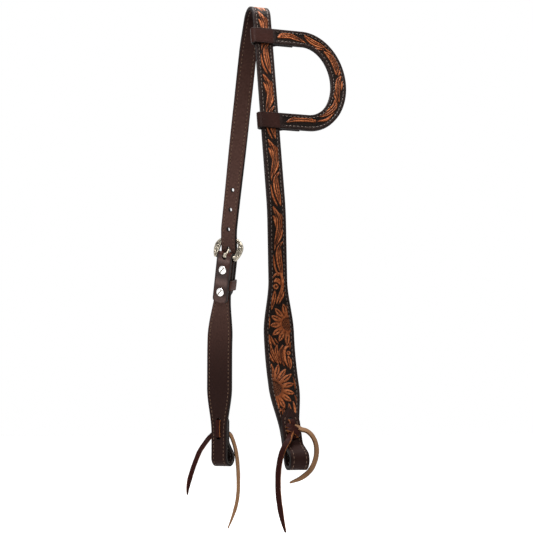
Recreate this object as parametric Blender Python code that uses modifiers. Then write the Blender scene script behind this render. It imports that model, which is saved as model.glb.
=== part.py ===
"""A western slip-ear headstall, hung by its crown as on a hook, in metres with +Z up.

The origin is under the middle of the crown's bend. The strap's middle line lies in the plane x = 0:
the right leg comes down towards -Y and shows its tooled face there, and the left leg goes down
towards +Y and turns about its own line, so its plain inside looks between -X and -Y.
Every strap is cut as a flat blank, scored across where it has to bend, and laid along its leg.
"""

import math

import bmesh
import bpy
from mathutils import Matrix, Vector

MM = 0.001

# Leather: a tooled top layer stitched to a plain lining
STRAP_WIDTH = 19 * MM
TOOLED = 2.0 * MM
LINING = 1.5 * MM
GAP = 0.3 * MM
STRAP = TOOLED + GAP + LINING
TOOLED_MIDDLE = (STRAP - TOOLED) / 2
LINING_MIDDLE = (LINING - STRAP) / 2

# The legs, from the crown down: lengths along the strap, leans from the vertical in degrees
CROWN_RADIUS = 15 * MM
RIGHT_UPPER, RIGHT_UPPER_LEAN = 199 * MM, 11.8
RIGHT_EASE = 30 * MM
RIGHT_MIDDLE, RIGHT_MIDDLE_LEAN = 100 * MM, 3.0
RIGHT_CURVE = 56 * MM
RIGHT_FOOT, RIGHT_FOOT_LEAN = 62 * MM, 20.5
LEFT_TOP, LEFT_TOP_LEAN = 22 * MM, 28.0
LEFT_EASE = 15 * MM
LEFT_BELOW_BAR, LEFT_MAIN_LEAN = 43.2 * MM, 18.8
LEFT_CURVE = 71 * MM
LEFT_FOOT, LEFT_FOOT_LEAN = 87 * MM, 0.0
LEFT_TWIST = 50.0
TWIST_FROM, TWIST_LENGTH = 18 * MM, 215 * MM

# The cheeks' flare, measured up each strap from where it starts to fold
FLARE_WIDTH = 31 * MM
FLARE_FOOT = 3 * MM
FLARE_FALL = 50 * MM
FLARE_PLATEAU = 55 * MM
FLARE_RISE = 54 * MM
FLARE_POINTS = 10

# The bit ends: the strap folds outward round the bit's ring and lies back on itself
EYE_RADIUS = 6 * MM
EYE_STRAIGHT = 24 * MM
EYE_TURN = 220
EYE_CLOSE_RADIUS = 10 * MM
EYE_FLAT_FROM, EYE_EASE = 16 * MM, 1 * MM
EYE_BELLY = 1.5
FOLDED_ARM = 34 * MM
POINT_LENGTH = 14 * MM
point_shares = ((0, 0), (0.1, 0.14), (0.2, 0.3), (0.31, 0.5), (0.5, 0.68), (0.7, 0.83), (1, 1))

# The buckle: a horseshoe frame with its bar between the ends
BUCKLE_DROP = 275 * MM
BAR_RADIUS = 1.7 * MM
FRAME_OPENING = 21.8 * MM
FRAME_SIDE = 7.3 * MM
FRAME_HEIGHT = 26.2 * MM
FRAME_BELOW_BAR = 3.8 * MM
FRAME_END = 3.2 * MM
FRAME_TOP_RIM = 5.7 * MM
FRAME_THICKNESS = 3.2 * MM
FRAME_ROUNDING = 1.1 * MM
FRAME_TILT = 25.0
FRAME_POINTS = 24
FRAME_EDGE_ANGLE = 50
OPENING_SQUARENESS = 4
TONGUE_WIDTH = 4 * MM
TONGUE_WALL = 1.3 * MM
TONGUE_RADIUS = 1.2 * MM
TONGUE_TIP_RADIUS = 1.1 * MM
TONGUE_SIDES = 12
TONGUE_OVERHANG = 1.0 * MM

# The turnback over the bar, the keeper under it and the two screws that close it
TURNBACK = 53 * MM
TURNBACK_ROUNDING = 4 * MM
turnback_shares = ((0, 0), (0.06, 0.55), (0.25, 0.82), (0.6, 0.96), (1, 1))
SLOT_CLEARANCE = 0.7 * MM
LINING_START = 6 * MM
UPPER_SCREW, LOWER_SCREW = 15.8 * MM, 41 * MM
SCREW_HEAD_RADIUS = 4.7 * MM
SCREW_HEAD_HEIGHT = 1.9 * MM
SCREW_DOME_STEPS = 5
SCREW_RADIUS = 1.5 * MM
SCREW_SLOT_WIDTH, SCREW_SLOT_DEPTH = 1.2 * MM, 0.8 * MM
SCREW_SLOT_TURN = 35
POST_HEAD_HEIGHT = 0.8 * MM
POST_RADIUS = 2.4 * MM
POST_CAP = 1.1 * MM
KEEPER_WIDTH = 12 * MM
KEEPER_PLACE = 32.3 * MM
KEEPER_THICKNESS = 1.5 * MM
KEEPER_CLEARANCE = 0.4 * MM
KEEPER_CORNER = 1.7 * MM
KEEPER_CORNER_STEPS = 4

# The billet's end beyond the bar, and its holes
BILLET_END = 50 * MM
BILLET_TIP = 18 * MM
billet_shares = ((0, 0), (0.03, 0.28), (0.15, 0.56), (0.45, 0.86), (1, 1))
BILLET_LIFT_FROM, BILLET_LIFT_TO = 34 * MM, 8 * MM
HOLE_RADIUS = 2.1 * MM
WORN_HOLE_RADIUS, WORN_HOLE_STRETCH = 2.3 * MM, 2.3 * MM
HOLE_IN_USE = 7.8 * MM
HOLE_PITCH = 22 * MM
HOLES_ABOVE, HOLES_BELOW = 3, 1

# The ear strap
EAR_PLACE = 35 * MM
EAR_BAND = 17 * MM
EAR_HEIGHT = 112 * MM
EAR_ARM = 42 * MM
EAR_REACH = 45.5 * MM
EAR_POINTS = 20
EAR_TAIL_END = 32 * MM
EAR_TAIL_BEND = 5 * MM

# The laces through the bit ends
LACE_WIDTH = 5.2 * MM
LACE_THICKNESS = 2.4 * MM
LACE_BEND = 1.7 * MM
LACE_LOWER_HOLE = 1.5 * MM
LACE_UPPER_HOLE = 16.5 * MM
LACE_HOLE_RADIUS = 3.2 * MM
LACE_END_FROM_TOP = 7 * MM
LACE_END_FROM_FOOT = 4 * MM
WRAP_LENGTH = 12 * MM
WRAP_THICKNESS = 4.2 * MM
WRAP_ROUNDING = 1.2 * MM
WRAP_TILT = 28.0
wrap_place_shares = (0.22, 0.66)

# Lace tails: their widths and their routes, points in millimetres chosen by hand
RIGHT_DARK_WIDTH, RIGHT_TAN_WIDTH = 5.2 * MM, 4.6 * MM
LEFT_DARK_WIDTH, LEFT_TAN_WIDTH = 5.2 * MM, 4.0 * MM
RIGHT_DARK_ROUTE = (
    (-4.6, -107.6, -444.3), (-8, -112.6, -448.5), (-12.6, -114, -454.5), (-16.2, -114, -463),
    (-18.4, -113.6, -475), (-19, -113.4, -487), (-18.6, -113.2, -499), (-17, -113, -511),
    (-14.6, -112.8, -523), (-11.2, -112.6, -535),
)
RIGHT_TAN_ROUTE = (
    (8.3, -105, -438.6), (12.8, -107.4, -440), (17.6, -109.2, -444.8), (20.6, -110.6, -452),
    (20.8, -112, -460.5), (18.4, -113, -469.2), (13.2, -114, -477.4), (4, -115, -484),
    (-8, -115.6, -488.5),
)
LEFT_DARK_ROUTE = (
    (3.6, 140.2, -441.2), (0.6, 142.8, -444.2), (-4.8, 144.8, -449.5), (-10.2, 144.2, -456),
    (-16, 143.6, -464), (-20.6, 143, -474), (-24.6, 142.5, -484), (-28.2, 142, -495),
    (-30.4, 141.5, -505), (-31, 141, -512),
)
LEFT_TAN_ROUTE = (
    (14, 127.4, -445.6), (17.6, 127.4, -453), (20.4, 127.5, -462), (22.4, 127.7, -473),
    (23.6, 128, -485), (24, 128, -498), (23.6, 128, -511), (21.4, 128, -524), (17, 128, -537),
    (11.8, 128, -549),
)

# How finely bends are scored, and how far cutters overrun what they cut
SCORE_ANGLE, SCORE_SLACK = 9.0, 0.001
TWIST_SCORES, LIFT_SCORES = 5, 4
SCORE_LENGTH = 26 * MM
SCORE_STEP = 0.5 * MM
OVERRUN = 6 * MM
ROUND_SIDES = 20
JOIN_OVERLAP = 0.4 * MM
MERGE = GAP / 10
SMOOTH_ANGLE = 35
STRAIGHT_ANGLE = 1

# The left leg's straight run, which carries the buckle and most of the turnback
LEFT_CROWN_ARC = CROWN_RADIUS * math.radians(90 - LEFT_TOP_LEAN)
LEFT_MAIN = BUCKLE_DROP + LEFT_BELOW_BAR - LEFT_EASE - LEFT_TOP - LEFT_CROWN_ARC

# Places that follow from the sizes above, measured outward from the buckle's bar line
FOLD_RADIUS = EYE_RADIUS + STRAP / 2
WRAP_RADIUS = BAR_RADIUS + GAP + TOOLED / 2
TURNBACK_FACE = WRAP_RADIUS + TOOLED / 2
CHEEK_MIDDLE = TURNBACK_FACE - STRAP / 2
BILLET_LIFT = TURNBACK_FACE + GAP + POST_HEAD_HEIGHT + GAP + STRAP / 2
KEEPER_INNER = CHEEK_MIDDLE - STRAP / 2 - GAP - KEEPER_THICKNESS / 2
KEEPER_OUTER = BILLET_LIFT + STRAP / 2 + GAP + KEEPER_THICKNESS / 2

parts = bpy.data.collections.new("western_headstall")
cutters = bpy.data.collections.new("cutters")


class Path:
    """A line in a plane: stretches of (length, degrees that it turns left over that length)."""

    def __init__(self, start, heading, stretches):
        self.start, self.heading, self.stretches = start, math.radians(heading), stretches
        self.length = sum(length for length, _ in stretches)

    def at(self, s):
        """The place s along it and the heading there; it runs straight on past its ends."""
        (x, y), heading = self.start, self.heading
        for i, (length, turn) in enumerate(self.stretches):
            last = i == len(self.stretches) - 1
            if s <= length or last:
                run = s if turn == 0 or s < 0 else min(s, length)
                bend = 0 if s < 0 else turn
            else:
                run, bend = length, turn
            angle = math.radians(bend) * run / length
            chord = run if bend == 0 else run * math.sin(angle / 2) / (angle / 2) if angle else run
            x += chord * math.cos(heading + angle / 2)
            y += chord * math.sin(heading + angle / 2)
            heading += angle
            s -= run
            if s <= 0 or last:
                break
        return x + s * math.cos(heading), y + s * math.sin(heading), heading


def fold_path():
    """The bit end's fold in the plane of (down the strap, outward), from the strap's middle line.

    Above the ring the strap bellies inward a little, and the bit seats lie on that stretch.
    """
    closing = EYE_TURN - 180
    angle = math.radians(closing)
    whole_turn = EYE_TURN + EYE_BELLY
    opening = (
        (EYE_FLAT_FROM, 0),
        (EYE_EASE, -EYE_BELLY),
        (EYE_STRAIGHT - EYE_FLAT_FROM - EYE_EASE, 0),
        (FOLD_RADIUS * math.radians(whole_turn), whole_turn),
    )
    length = sum(run for run, _ in opening)
    out_at_turn = Path((0, 0), 0, opening).at(length)[1]
    back = out_at_turn - (STRAP + GAP) - EYE_CLOSE_RADIUS * (1 - math.cos(angle))
    closed = (
        (back / math.sin(angle), 0),
        (EYE_CLOSE_RADIUS * angle, -closing),
        (FOLDED_ARM, 0),
    )
    return Path((0, 0), 0, opening + closed)


FOLD = fold_path()


def ease(share):
    """0 to 1 with level ends, as share goes from 0 to 1."""
    share = max(0, min(1, share))
    return share * share * (3 - 2 * share)


class Leg:
    """One side of the headstall. Along it, u is across, s is down from the crown, h is outward."""

    def __init__(self, side, stretches, twist=0, middle=0):
        self.side, self.twist, self.middle = side, twist, middle
        self.path = Path((0, STRAP / 2), 0, stretches)
        self.fold = self.path.length
        self.end = self.fold + FOLD.length

    def frame(self, s):
        """The middle line's point at s, and the directions across, down and outward there."""
        y, z, heading = self.path.at(min(s, self.fold))
        down = Vector((0, self.side * math.cos(heading), math.sin(heading)))
        outward = Vector((0, -self.side * math.sin(heading), math.cos(heading)))
        turned = math.radians(self.twist) * ease((s - TWIST_FROM) / TWIST_LENGTH)
        across = Vector((1, 0, 0))
        across, outward = (
            across * math.cos(turned) - outward * math.sin(turned),
            outward * math.cos(turned) + across * math.sin(turned),
        )
        return Vector((0, self.side * y, z)), across, down, outward

    def place(self, u, s, h):
        point, across, down, outward = self.frame(s)
        point = point + across * u + outward * self.middle
        if s <= self.fold:
            return point + outward * h
        v, n, angle = FOLD.at(s - self.fold)
        turned = outward * math.cos(angle) - down * math.sin(angle)
        return point + down * v + outward * n + turned * h

    def turned_by(self, s):
        """Degrees that the strap has bent and twisted through by s, for scoring."""
        total = 0
        for length, turn in self.path.stretches + FOLD.stretches:
            run = max(0, min(s, length))
            total += abs(turn) * run / length
            s -= length
        return total

    def matrix(self, s, h=0):
        """A frame of reference on the strap: X across, Y up along it, Z outward."""
        point, across, down, outward = self.frame(s)
        out = Matrix((across, -down, outward)).transposed().to_4x4()
        out.translation = point + outward * h
        return out


def stretches_of(*runs):
    """Straights and arcs from (length, lean at its end): an arc where the lean changes."""
    lean = runs[0][1]
    out = [(CROWN_RADIUS * math.radians(90 - lean), lean - 90)]
    for length, next_lean in runs:
        out.append((length, next_lean - lean))
        lean = next_lean
    return tuple(out)


RIGHT_RUNS = (
    (RIGHT_UPPER, RIGHT_UPPER_LEAN),
    (RIGHT_EASE, RIGHT_MIDDLE_LEAN),
    (RIGHT_MIDDLE, RIGHT_MIDDLE_LEAN),
    (RIGHT_CURVE, RIGHT_FOOT_LEAN),
    (RIGHT_FOOT, RIGHT_FOOT_LEAN),
)
LEFT_RUNS = (
    (LEFT_TOP, LEFT_TOP_LEAN),
    (LEFT_EASE, LEFT_MAIN_LEAN),
    (LEFT_MAIN, LEFT_MAIN_LEAN),
    (LEFT_CURVE, LEFT_FOOT_LEAN),
    (LEFT_FOOT, LEFT_FOOT_LEAN),
)
right = Leg(-1, stretches_of(*RIGHT_RUNS))
left = Leg(1, stretches_of(*LEFT_RUNS), LEFT_TWIST)
cheek = Leg(1, stretches_of(*LEFT_RUNS), LEFT_TWIST, CHEEK_MIDDLE)
bar = left.matrix(BUCKLE_DROP)


def material(name, colour, roughness, metallic=0):
    out = bpy.data.materials.new(name)
    out.use_nodes = True
    shader = out.node_tree.nodes["Principled BSDF"]
    shader.inputs["Base Color"].default_value = (*colour, 1)
    shader.inputs["Roughness"].default_value = roughness
    shader.inputs["Metallic"].default_value = metallic
    return out


def finish(obj, colour, roughness, metallic=0):
    """Its own material, smooth shading and its place among the parts."""
    obj.data.materials.clear()
    obj.data.materials.append(material(obj.name, colour, roughness, metallic))
    if obj.type == "MESH":
        obj.data.shade_smooth()
        obj.data.set_sharp_from_angle(angle=math.radians(SMOOTH_ANGLE))
    parts.objects.link(obj)
    return obj


def as_cutter(obj):
    cutters.objects.link(obj)
    obj.hide_render = True
    obj.display_type = "WIRE"
    return obj


def cut(obj, cutter, operation="DIFFERENCE"):
    modifier = obj.modifiers.new(cutter.name, "BOOLEAN")
    modifier.operation = operation
    modifier.solver = "EXACT"
    modifier.object = cutter
    return obj


def object_from(name, bm, matrix=None):
    mesh = bpy.data.meshes.new(name)
    bmesh.ops.recalc_face_normals(bm, faces=bm.faces)
    if bm.calc_volume(signed=True) < 0:
        bmesh.ops.reverse_faces(bm, faces=bm.faces)
    bm.to_mesh(mesh)
    bm.free()
    obj = bpy.data.objects.new(name, mesh)
    if matrix is not None:
        obj.matrix_world = matrix
    return obj


def flat(name, outlines, thickness, offset=0):
    """A flat blank from closed outlines in X and Y, its middle at offset along Z, as a bmesh."""
    curve = bpy.data.curves.new(name, "CURVE")
    curve.dimensions = "2D"
    curve.fill_mode = "BOTH"
    curve.extrude = thickness / 2
    for outline in outlines:
        spline = curve.splines.new("POLY")
        spline.points.add(len(outline) - 1)
        for point, (x, y) in zip(spline.points, outline):
            point.co = (x, y, 0, 1)
        spline.use_cyclic_u = True
    guide = bpy.data.objects.new(name, curve)
    bpy.context.scene.collection.objects.link(guide)
    graph = bpy.context.evaluated_depsgraph_get()
    mesh = bpy.data.meshes.new_from_object(guide.evaluated_get(graph))
    bm = bmesh.new()
    bm.from_mesh(mesh)
    bpy.data.objects.remove(guide)
    bpy.data.curves.remove(curve)
    bpy.data.meshes.remove(mesh)
    bmesh.ops.remove_doubles(bm, verts=bm.verts, dist=MERGE)
    bmesh.ops.translate(bm, verts=bm.verts, vec=(0, 0, offset))
    return bm


def score(bm, places, axis):
    """Cuts a blank across at each place along its axis, so that it can bend there."""
    normal = Vector((1, 0, 0)) if axis == 0 else Vector((0, 1, 0))
    for place in places:
        geometry = [*bm.verts, *bm.edges, *bm.faces]
        bmesh.ops.bisect_plane(
            bm, geom=geometry, dist=MERGE, plane_co=normal * place, plane_no=normal
        )


def lay(bm, place):
    for vertex in bm.verts:
        vertex.co = place(*vertex.co)


def scores(start, end, turned_by):
    """Places from start to end where a strap is scored: every few degrees or centimetres."""
    steps = max(1, round((end - start) / SCORE_STEP))
    last, angle, out = start, turned_by(start), []
    for i in range(1, steps):
        place = start + (end - start) * i / steps
        turned = turned_by(place)
        if abs(turned - angle) >= SCORE_ANGLE - SCORE_SLACK or place - last >= SCORE_LENGTH:
            out.append(place)
            last, angle = place, turned
    return out


def half_width(up):
    """Half the strap's width at a distance up from where its bit end starts to fold."""
    rise = ease((up - FLARE_FOOT) / FLARE_FALL)
    top = FLARE_FOOT + FLARE_FALL + FLARE_PLATEAU
    fall = ease((up - top) / FLARE_RISE)
    return (STRAP_WIDTH + (FLARE_WIDTH - STRAP_WIDTH) * (rise - fall)) / 2


def flare_places():
    """Distances up from the fold where the flared edge has a point."""
    spans = ((FLARE_FOOT, FLARE_FALL), (FLARE_FOOT + FLARE_FALL + FLARE_PLATEAU, FLARE_RISE))
    steps = range(FLARE_POINTS + 1)
    return [start + length * i / FLARE_POINTS for start, length in spans for i in steps]


def eye_flat_places():
    """Distances down from the fold where the strap is scored for the flat bit seat."""
    return [EYE_FLAT_FROM, EYE_FLAT_FROM + EYE_EASE, EYE_STRAIGHT]


def strap_outline(ends, widths):
    """The closed outline of a strap from (distance along, half its width) in rising order.

    ends gives the tip at each end as (place, length, shares of that length and of the half width).
    """
    (start, start_length, start_shares), (end, end_length, end_shares) = ends
    half = STRAP_WIDTH / 2
    side = [(start + start_length * a, half * b) for a, b in start_shares]
    side += widths
    side += [(end - end_length * a, half * b) for a, b in reversed(end_shares)]
    right_side = [(w, t) for t, w in side]
    left_side = [(-w, t) for t, w in reversed(side) if w > 0]
    return right_side + left_side


def billet_lift(s):
    """How far the billet stands outward of the leg's line as it comes through the buckle."""
    span = BILLET_LIFT_FROM + BILLET_LIFT_TO
    return BILLET_LIFT * ease((s - (BUCKLE_DROP - BILLET_LIFT_FROM)) / span)


def along_crown(u, t, h):
    """From the right bit end's tip, at the most negative t, over the crown to the billet's tip."""
    if t < 0:
        return right.place(u, -t, h)
    return left.place(u, t, h + billet_lift(t))


def crown_turned_by(t):
    if t < 0:
        return -right.turned_by(-t)
    twist = LEFT_TWIST * ease((t - TWIST_FROM) / TWIST_LENGTH)
    lifting = LIFT_SCORES * SCORE_ANGLE * billet_lift(t) / BILLET_LIFT
    return left.turned_by(t) + TWIST_SCORES * twist + lifting


def crown_layer(name, thickness, middle):
    widths = [(-right.fold + up, half_width(up)) for up in flare_places()]
    ends = (
        (-right.end, POINT_LENGTH, point_shares),
        (BUCKLE_DROP + BILLET_END, BILLET_TIP, billet_shares),
    )
    bm = flat(name, [strap_outline(ends, widths)], thickness, middle)
    score(bm, [0], 0)
    score(bm, scores(-right.end, BUCKLE_DROP + BILLET_END, crown_turned_by), 1)
    score(bm, [BUCKLE_DROP - BILLET_LIFT_FROM, BUCKLE_DROP + BILLET_LIFT_TO], 1)
    score(bm, [-right.fold - down for down in eye_flat_places()], 1)
    lay(bm, along_crown)
    return object_from(name, bm)


def rod(name, radius, length, matrix, sides=ROUND_SIDES, top_radius=None):
    """A cylinder or cone with its middle at the matrix and its length along Z."""
    bm = bmesh.new()
    top = radius if top_radius is None else top_radius
    bmesh.ops.create_cone(
        bm, cap_ends=True, segments=sides, radius1=radius, radius2=top, depth=length
    )
    return object_from(name, bm, matrix)


def at(x=0, y=0, z=0):
    return Matrix.Translation((x, y, z))


def turn(degrees, axis):
    return Matrix.Rotation(math.radians(degrees), 4, axis)


def round_hole(name, radius, length, place):
    """A hole's cutter, turned by half a side so that no corner lies on the strap's middle line."""
    return rod(name, radius, length, place @ turn(180 / ROUND_SIDES, "Z"))


def billet_holes():
    """Cutters for the billet's round holes and, along the tongue, for the one in use."""
    out = []
    for i in range(-HOLES_BELOW, HOLES_ABOVE + 1):
        if i == 0:
            continue
        s = BUCKLE_DROP - HOLE_IN_USE - i * HOLE_PITCH
        place = left.matrix(s, billet_lift(s))
        out.append(round_hole(f"hole_{i + HOLES_BELOW}", HOLE_RADIUS, STRAP + OVERRUN, place))
    radius, run = WORN_HOLE_RADIUS, WORN_HOLE_STRETCH
    outline = [
        (radius * math.cos(a), radius * math.sin(a) + (run / 2 if a < math.pi else -run / 2))
        for a in (2 * math.pi * (i + 0.5) / ROUND_SIDES for i in range(ROUND_SIDES))
    ]
    lift = billet_lift(BUCKLE_DROP - HOLE_IN_USE)
    lean = FRAME_TILT + tongue_slope()
    place = bar @ at(0, HOLE_IN_USE, lift) @ turn(90 - lean, "X").inverted()
    bm = flat("hole_in_use", [outline], 2 * OVERRUN + STRAP)
    out.append(object_from("hole_in_use", bm, place @ at(0, -run / 4)))
    return [as_cutter(hole) for hole in out]


def lace_holes(leg, side):
    out = []
    for name, down in (("lower", LACE_LOWER_HOLE), ("upper", -LACE_UPPER_HOLE)):
        place = leg.matrix(leg.fold, leg.middle) @ at(0, -down, (STRAP + GAP) / 2)
        length = 2 * (STRAP + OVERRUN)
        hole = round_hole(f"{side}_{name}_lace_hole", LACE_HOLE_RADIUS, length, place)
        out.append(as_cutter(hole))
    return out


def crown():
    holes = billet_holes() + lace_holes(right, "right")
    tooled = crown_layer("crown_strap", TOOLED, TOOLED_MIDDLE)
    lining = crown_layer("crown_lining", LINING, LINING_MIDDLE)
    for obj in (tooled, lining):
        for hole in holes:
            cut(obj, hole)
    finish(tooled, (0.2, 0.08, 0.035), 0.5)
    finish(lining, (0.055, 0.022, 0.016), 0.6)


def along_cheek(u, t, h):
    """From the bit end up to the bar, and for t < 0 round the bar and down the inside."""
    if t >= 0:
        return cheek.place(u, BUCKLE_DROP + t, h)
    out = WRAP_RADIUS + h - TOOLED_MIDDLE
    angle = min(-t / WRAP_RADIUS, math.pi)
    inside = -t - math.pi * WRAP_RADIUS
    if inside > 0:
        return left.place(u, BUCKLE_DROP + inside, -out)
    return bar @ Vector((u, out * math.sin(angle), out * math.cos(angle)))


def cheek_turned_by(t):
    if t >= 0:
        return cheek.turned_by(BUCKLE_DROP + t)
    return cheek.turned_by(BUCKLE_DROP) - math.degrees(min(math.pi, -t / WRAP_RADIUS))


def cheek_layer(name, thickness, middle, start, start_length, start_shares):
    fold = cheek.fold - BUCKLE_DROP
    end = cheek.end - BUCKLE_DROP
    widths = [(fold - up, half_width(up)) for up in reversed(flare_places())]
    ends = ((start, start_length, start_shares), (end, POINT_LENGTH, point_shares))
    bm = flat(name, [strap_outline(ends, widths)], thickness, middle)
    score(bm, scores(start, end, cheek_turned_by), 1)
    score(bm, [fold + down for down in eye_flat_places()], 1)
    lay(bm, along_cheek)
    return object_from(name, bm)


def stadium(half, low, high):
    """An upright slot from low to high, its ends round."""
    count = ROUND_SIDES // 2
    angles = [math.pi * i / count for i in range(count + 1)]
    top = [(half * math.cos(a), high - half + half * math.sin(a)) for a in angles]
    foot = [(-half * math.cos(a), low + half - half * math.sin(a)) for a in angles]
    return top + foot


def left_cheek():
    start = -math.pi * WRAP_RADIUS - TURNBACK
    square_shares = ((0, 1),)
    tooled = cheek_layer(
        "left_cheek_strap", TOOLED, TOOLED_MIDDLE, start, TURNBACK_ROUNDING, turnback_shares
    )
    lining = cheek_layer(
        "left_cheek_lining", LINING, LINING_MIDDLE, LINING_START, 0, square_shares
    )
    holes = lace_holes(cheek, "left")
    for name, down in (("upper", UPPER_SCREW), ("lower", LOWER_SCREW)):
        place = bar @ at(0, -down)
        length = 2 * (TURNBACK_FACE + OVERRUN)
        holes.append(as_cutter(rod(f"{name}_screw_hole", POST_RADIUS + GAP, length, place)))
    reach = BAR_RADIUS + GAP + TONGUE_WALL + SLOT_CLEARANCE
    outline = stadium(TONGUE_WIDTH / 2 + SLOT_CLEARANCE, -reach, reach + OVERRUN)
    bm = flat("tongue_slot", [outline], 2 * (TURNBACK_FACE + OVERRUN))
    slot = as_cutter(object_from("tongue_slot", bm, bar))
    for hole in holes:
        cut(tooled, hole)
        cut(lining, hole)
    cut(tooled, slot)
    finish(tooled, (0.2, 0.08, 0.035), 0.45)
    finish(lining, (0.055, 0.022, 0.016), 0.6)


def rounded_rectangle(left_x, right_x, low, high, radius):
    corners = (
        (right_x - radius, high - radius, 0),
        (left_x + radius, high - radius, 90),
        (left_x + radius, low + radius, 180),
        (right_x - radius, low + radius, 270),
    )
    out = []
    for x, y, start in corners:
        for i in range(KEEPER_CORNER_STEPS + 1):
            angle = math.radians(start + 90 * i / KEEPER_CORNER_STEPS)
            out.append((x + radius * math.cos(angle), y + radius * math.sin(angle)))
    return out


def keeper():
    """A band round the lining, the cheek strap and the billet, its origin on its own middle."""
    half, wall = STRAP_WIDTH / 2 + KEEPER_CLEARANCE, KEEPER_THICKNESS
    low, high = KEEPER_INNER + wall / 2, KEEPER_OUTER - wall / 2
    inner = rounded_rectangle(-half, half, low, high, KEEPER_CORNER - wall + GAP)
    outer = rounded_rectangle(-half - wall, half + wall, low - wall, high + wall, KEEPER_CORNER)
    bm = flat("keeper", [outer, inner], KEEPER_WIDTH)
    bmesh.ops.rotate(bm, verts=bm.verts, matrix=Matrix.Rotation(math.pi / 2, 3, "X"))
    obj = object_from("keeper", bm, bar @ at(0, -KEEPER_PLACE))
    finish(obj, (0.075, 0.025, 0.014), 0.4)


def frame_place():
    """The buckle's frame of reference: X along the bar, Y up the frame, Z outward of it."""
    return bar @ turn(FRAME_TILT, "X")


def buckle_outline():
    """The horseshoe: an oval outside, and an opening with straight sides and a squarish top."""
    middle = FRAME_HEIGHT / 2 - FRAME_BELOW_BAR
    inner_half = FRAME_OPENING / 2
    half = inner_half + FRAME_SIDE
    inner_rise = FRAME_HEIGHT / 2 - FRAME_TOP_RIM
    end = math.acos((inner_half + FRAME_END) / half)
    lower_rise = (middle + FRAME_BELOW_BAR) / math.sin(end)
    outer = []
    for i in range(FRAME_POINTS + 1):
        angle = -end + (math.pi + 2 * end) * i / FRAME_POINTS
        rise = FRAME_HEIGHT / 2 if math.sin(angle) > 0 else lower_rise
        outer.append((half * math.cos(angle), middle + rise * math.sin(angle)))
    power = 2 / OPENING_SQUARENESS
    inner = []
    for i in range(FRAME_POINTS + 1):
        angle = math.pi - math.pi * i / FRAME_POINTS
        x = math.copysign(abs(math.cos(angle)) ** power, math.cos(angle))
        inner.append((inner_half * x, middle + inner_rise * abs(math.sin(angle)) ** power))
    foot = [(-inner_half, -FRAME_BELOW_BAR), (inner_half, -FRAME_BELOW_BAR)]
    return outer + foot[:1] + inner + foot[1:]


def buckle_frame():
    bm = flat("buckle_frame", [buckle_outline()], FRAME_THICKNESS)
    flat_angle = math.radians(STRAIGHT_ANGLE)
    bmesh.ops.dissolve_limit(bm, angle_limit=flat_angle, verts=bm.verts, edges=bm.edges)
    obj = object_from("buckle_frame", bm, frame_place())
    rounding = obj.modifiers.new("rounded_edges", "BEVEL")
    rounding.width = FRAME_ROUNDING
    rounding.segments = 2
    rounding.limit_method = "ANGLE"
    rounding.angle_limit = math.radians(FRAME_EDGE_ANGLE)
    length = FRAME_OPENING + FRAME_SIDE
    bar_rod = rod("buckle_bar", BAR_RADIUS, length, bar @ turn(90, "Y"))
    finish(cut(obj, as_cutter(bar_rod), "UNION"), (0.62, 0.6, 0.56), 0.3, 1)


def tongue_slope():
    """Degrees that the tongue stands out of the frame's plane by, so that it lies on the rim."""
    rim_middle = FRAME_HEIGHT - FRAME_BELOW_BAR - FRAME_TOP_RIM / 2
    return math.degrees(math.atan2(FRAME_THICKNESS / 2 + GAP + TONGUE_RADIUS, rim_middle))


def buckle_tongue():
    eye = BAR_RADIUS + GAP + TONGUE_WALL
    place = frame_place()
    obj = rod("buckle_tongue", eye, TONGUE_WIDTH, place @ turn(90, "Y"))
    start = BAR_RADIUS + GAP + TONGUE_WALL / 2
    reach = FRAME_HEIGHT - FRAME_BELOW_BAR + TONGUE_OVERHANG
    length = reach / math.cos(math.radians(tongue_slope())) - start
    lie = place @ turn(tongue_slope(), "X") @ turn(-90, "X") @ at(0, 0, start + length / 2)
    shaft = rod("tongue_shaft", TONGUE_WALL, length, lie, TONGUE_SIDES, TONGUE_TIP_RADIUS)
    bore = rod("tongue_bore", BAR_RADIUS + GAP, TONGUE_WIDTH + OVERRUN, place @ turn(90, "Y"))
    cut(obj, as_cutter(shaft), "UNION")
    finish(cut(obj, as_cutter(bore)), (0.62, 0.6, 0.56), 0.3, 1)


def turned(name, profile, matrix):
    """A turned solid from (radius, height) pairs, top to bottom down its outer side."""
    mesh = bpy.data.meshes.new(name)
    edges = [(i, i + 1) for i in range(len(profile) - 1)]
    mesh.from_pydata([(r, 0, z) for r, z in profile], edges, [])
    obj = bpy.data.objects.new(name, mesh)
    obj.matrix_world = matrix
    screw = obj.modifiers.new("turned", "SCREW")
    screw.steps = screw.render_steps = ROUND_SIDES
    screw.use_merge_vertices = True
    screw.merge_threshold = MERGE
    return obj


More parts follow.
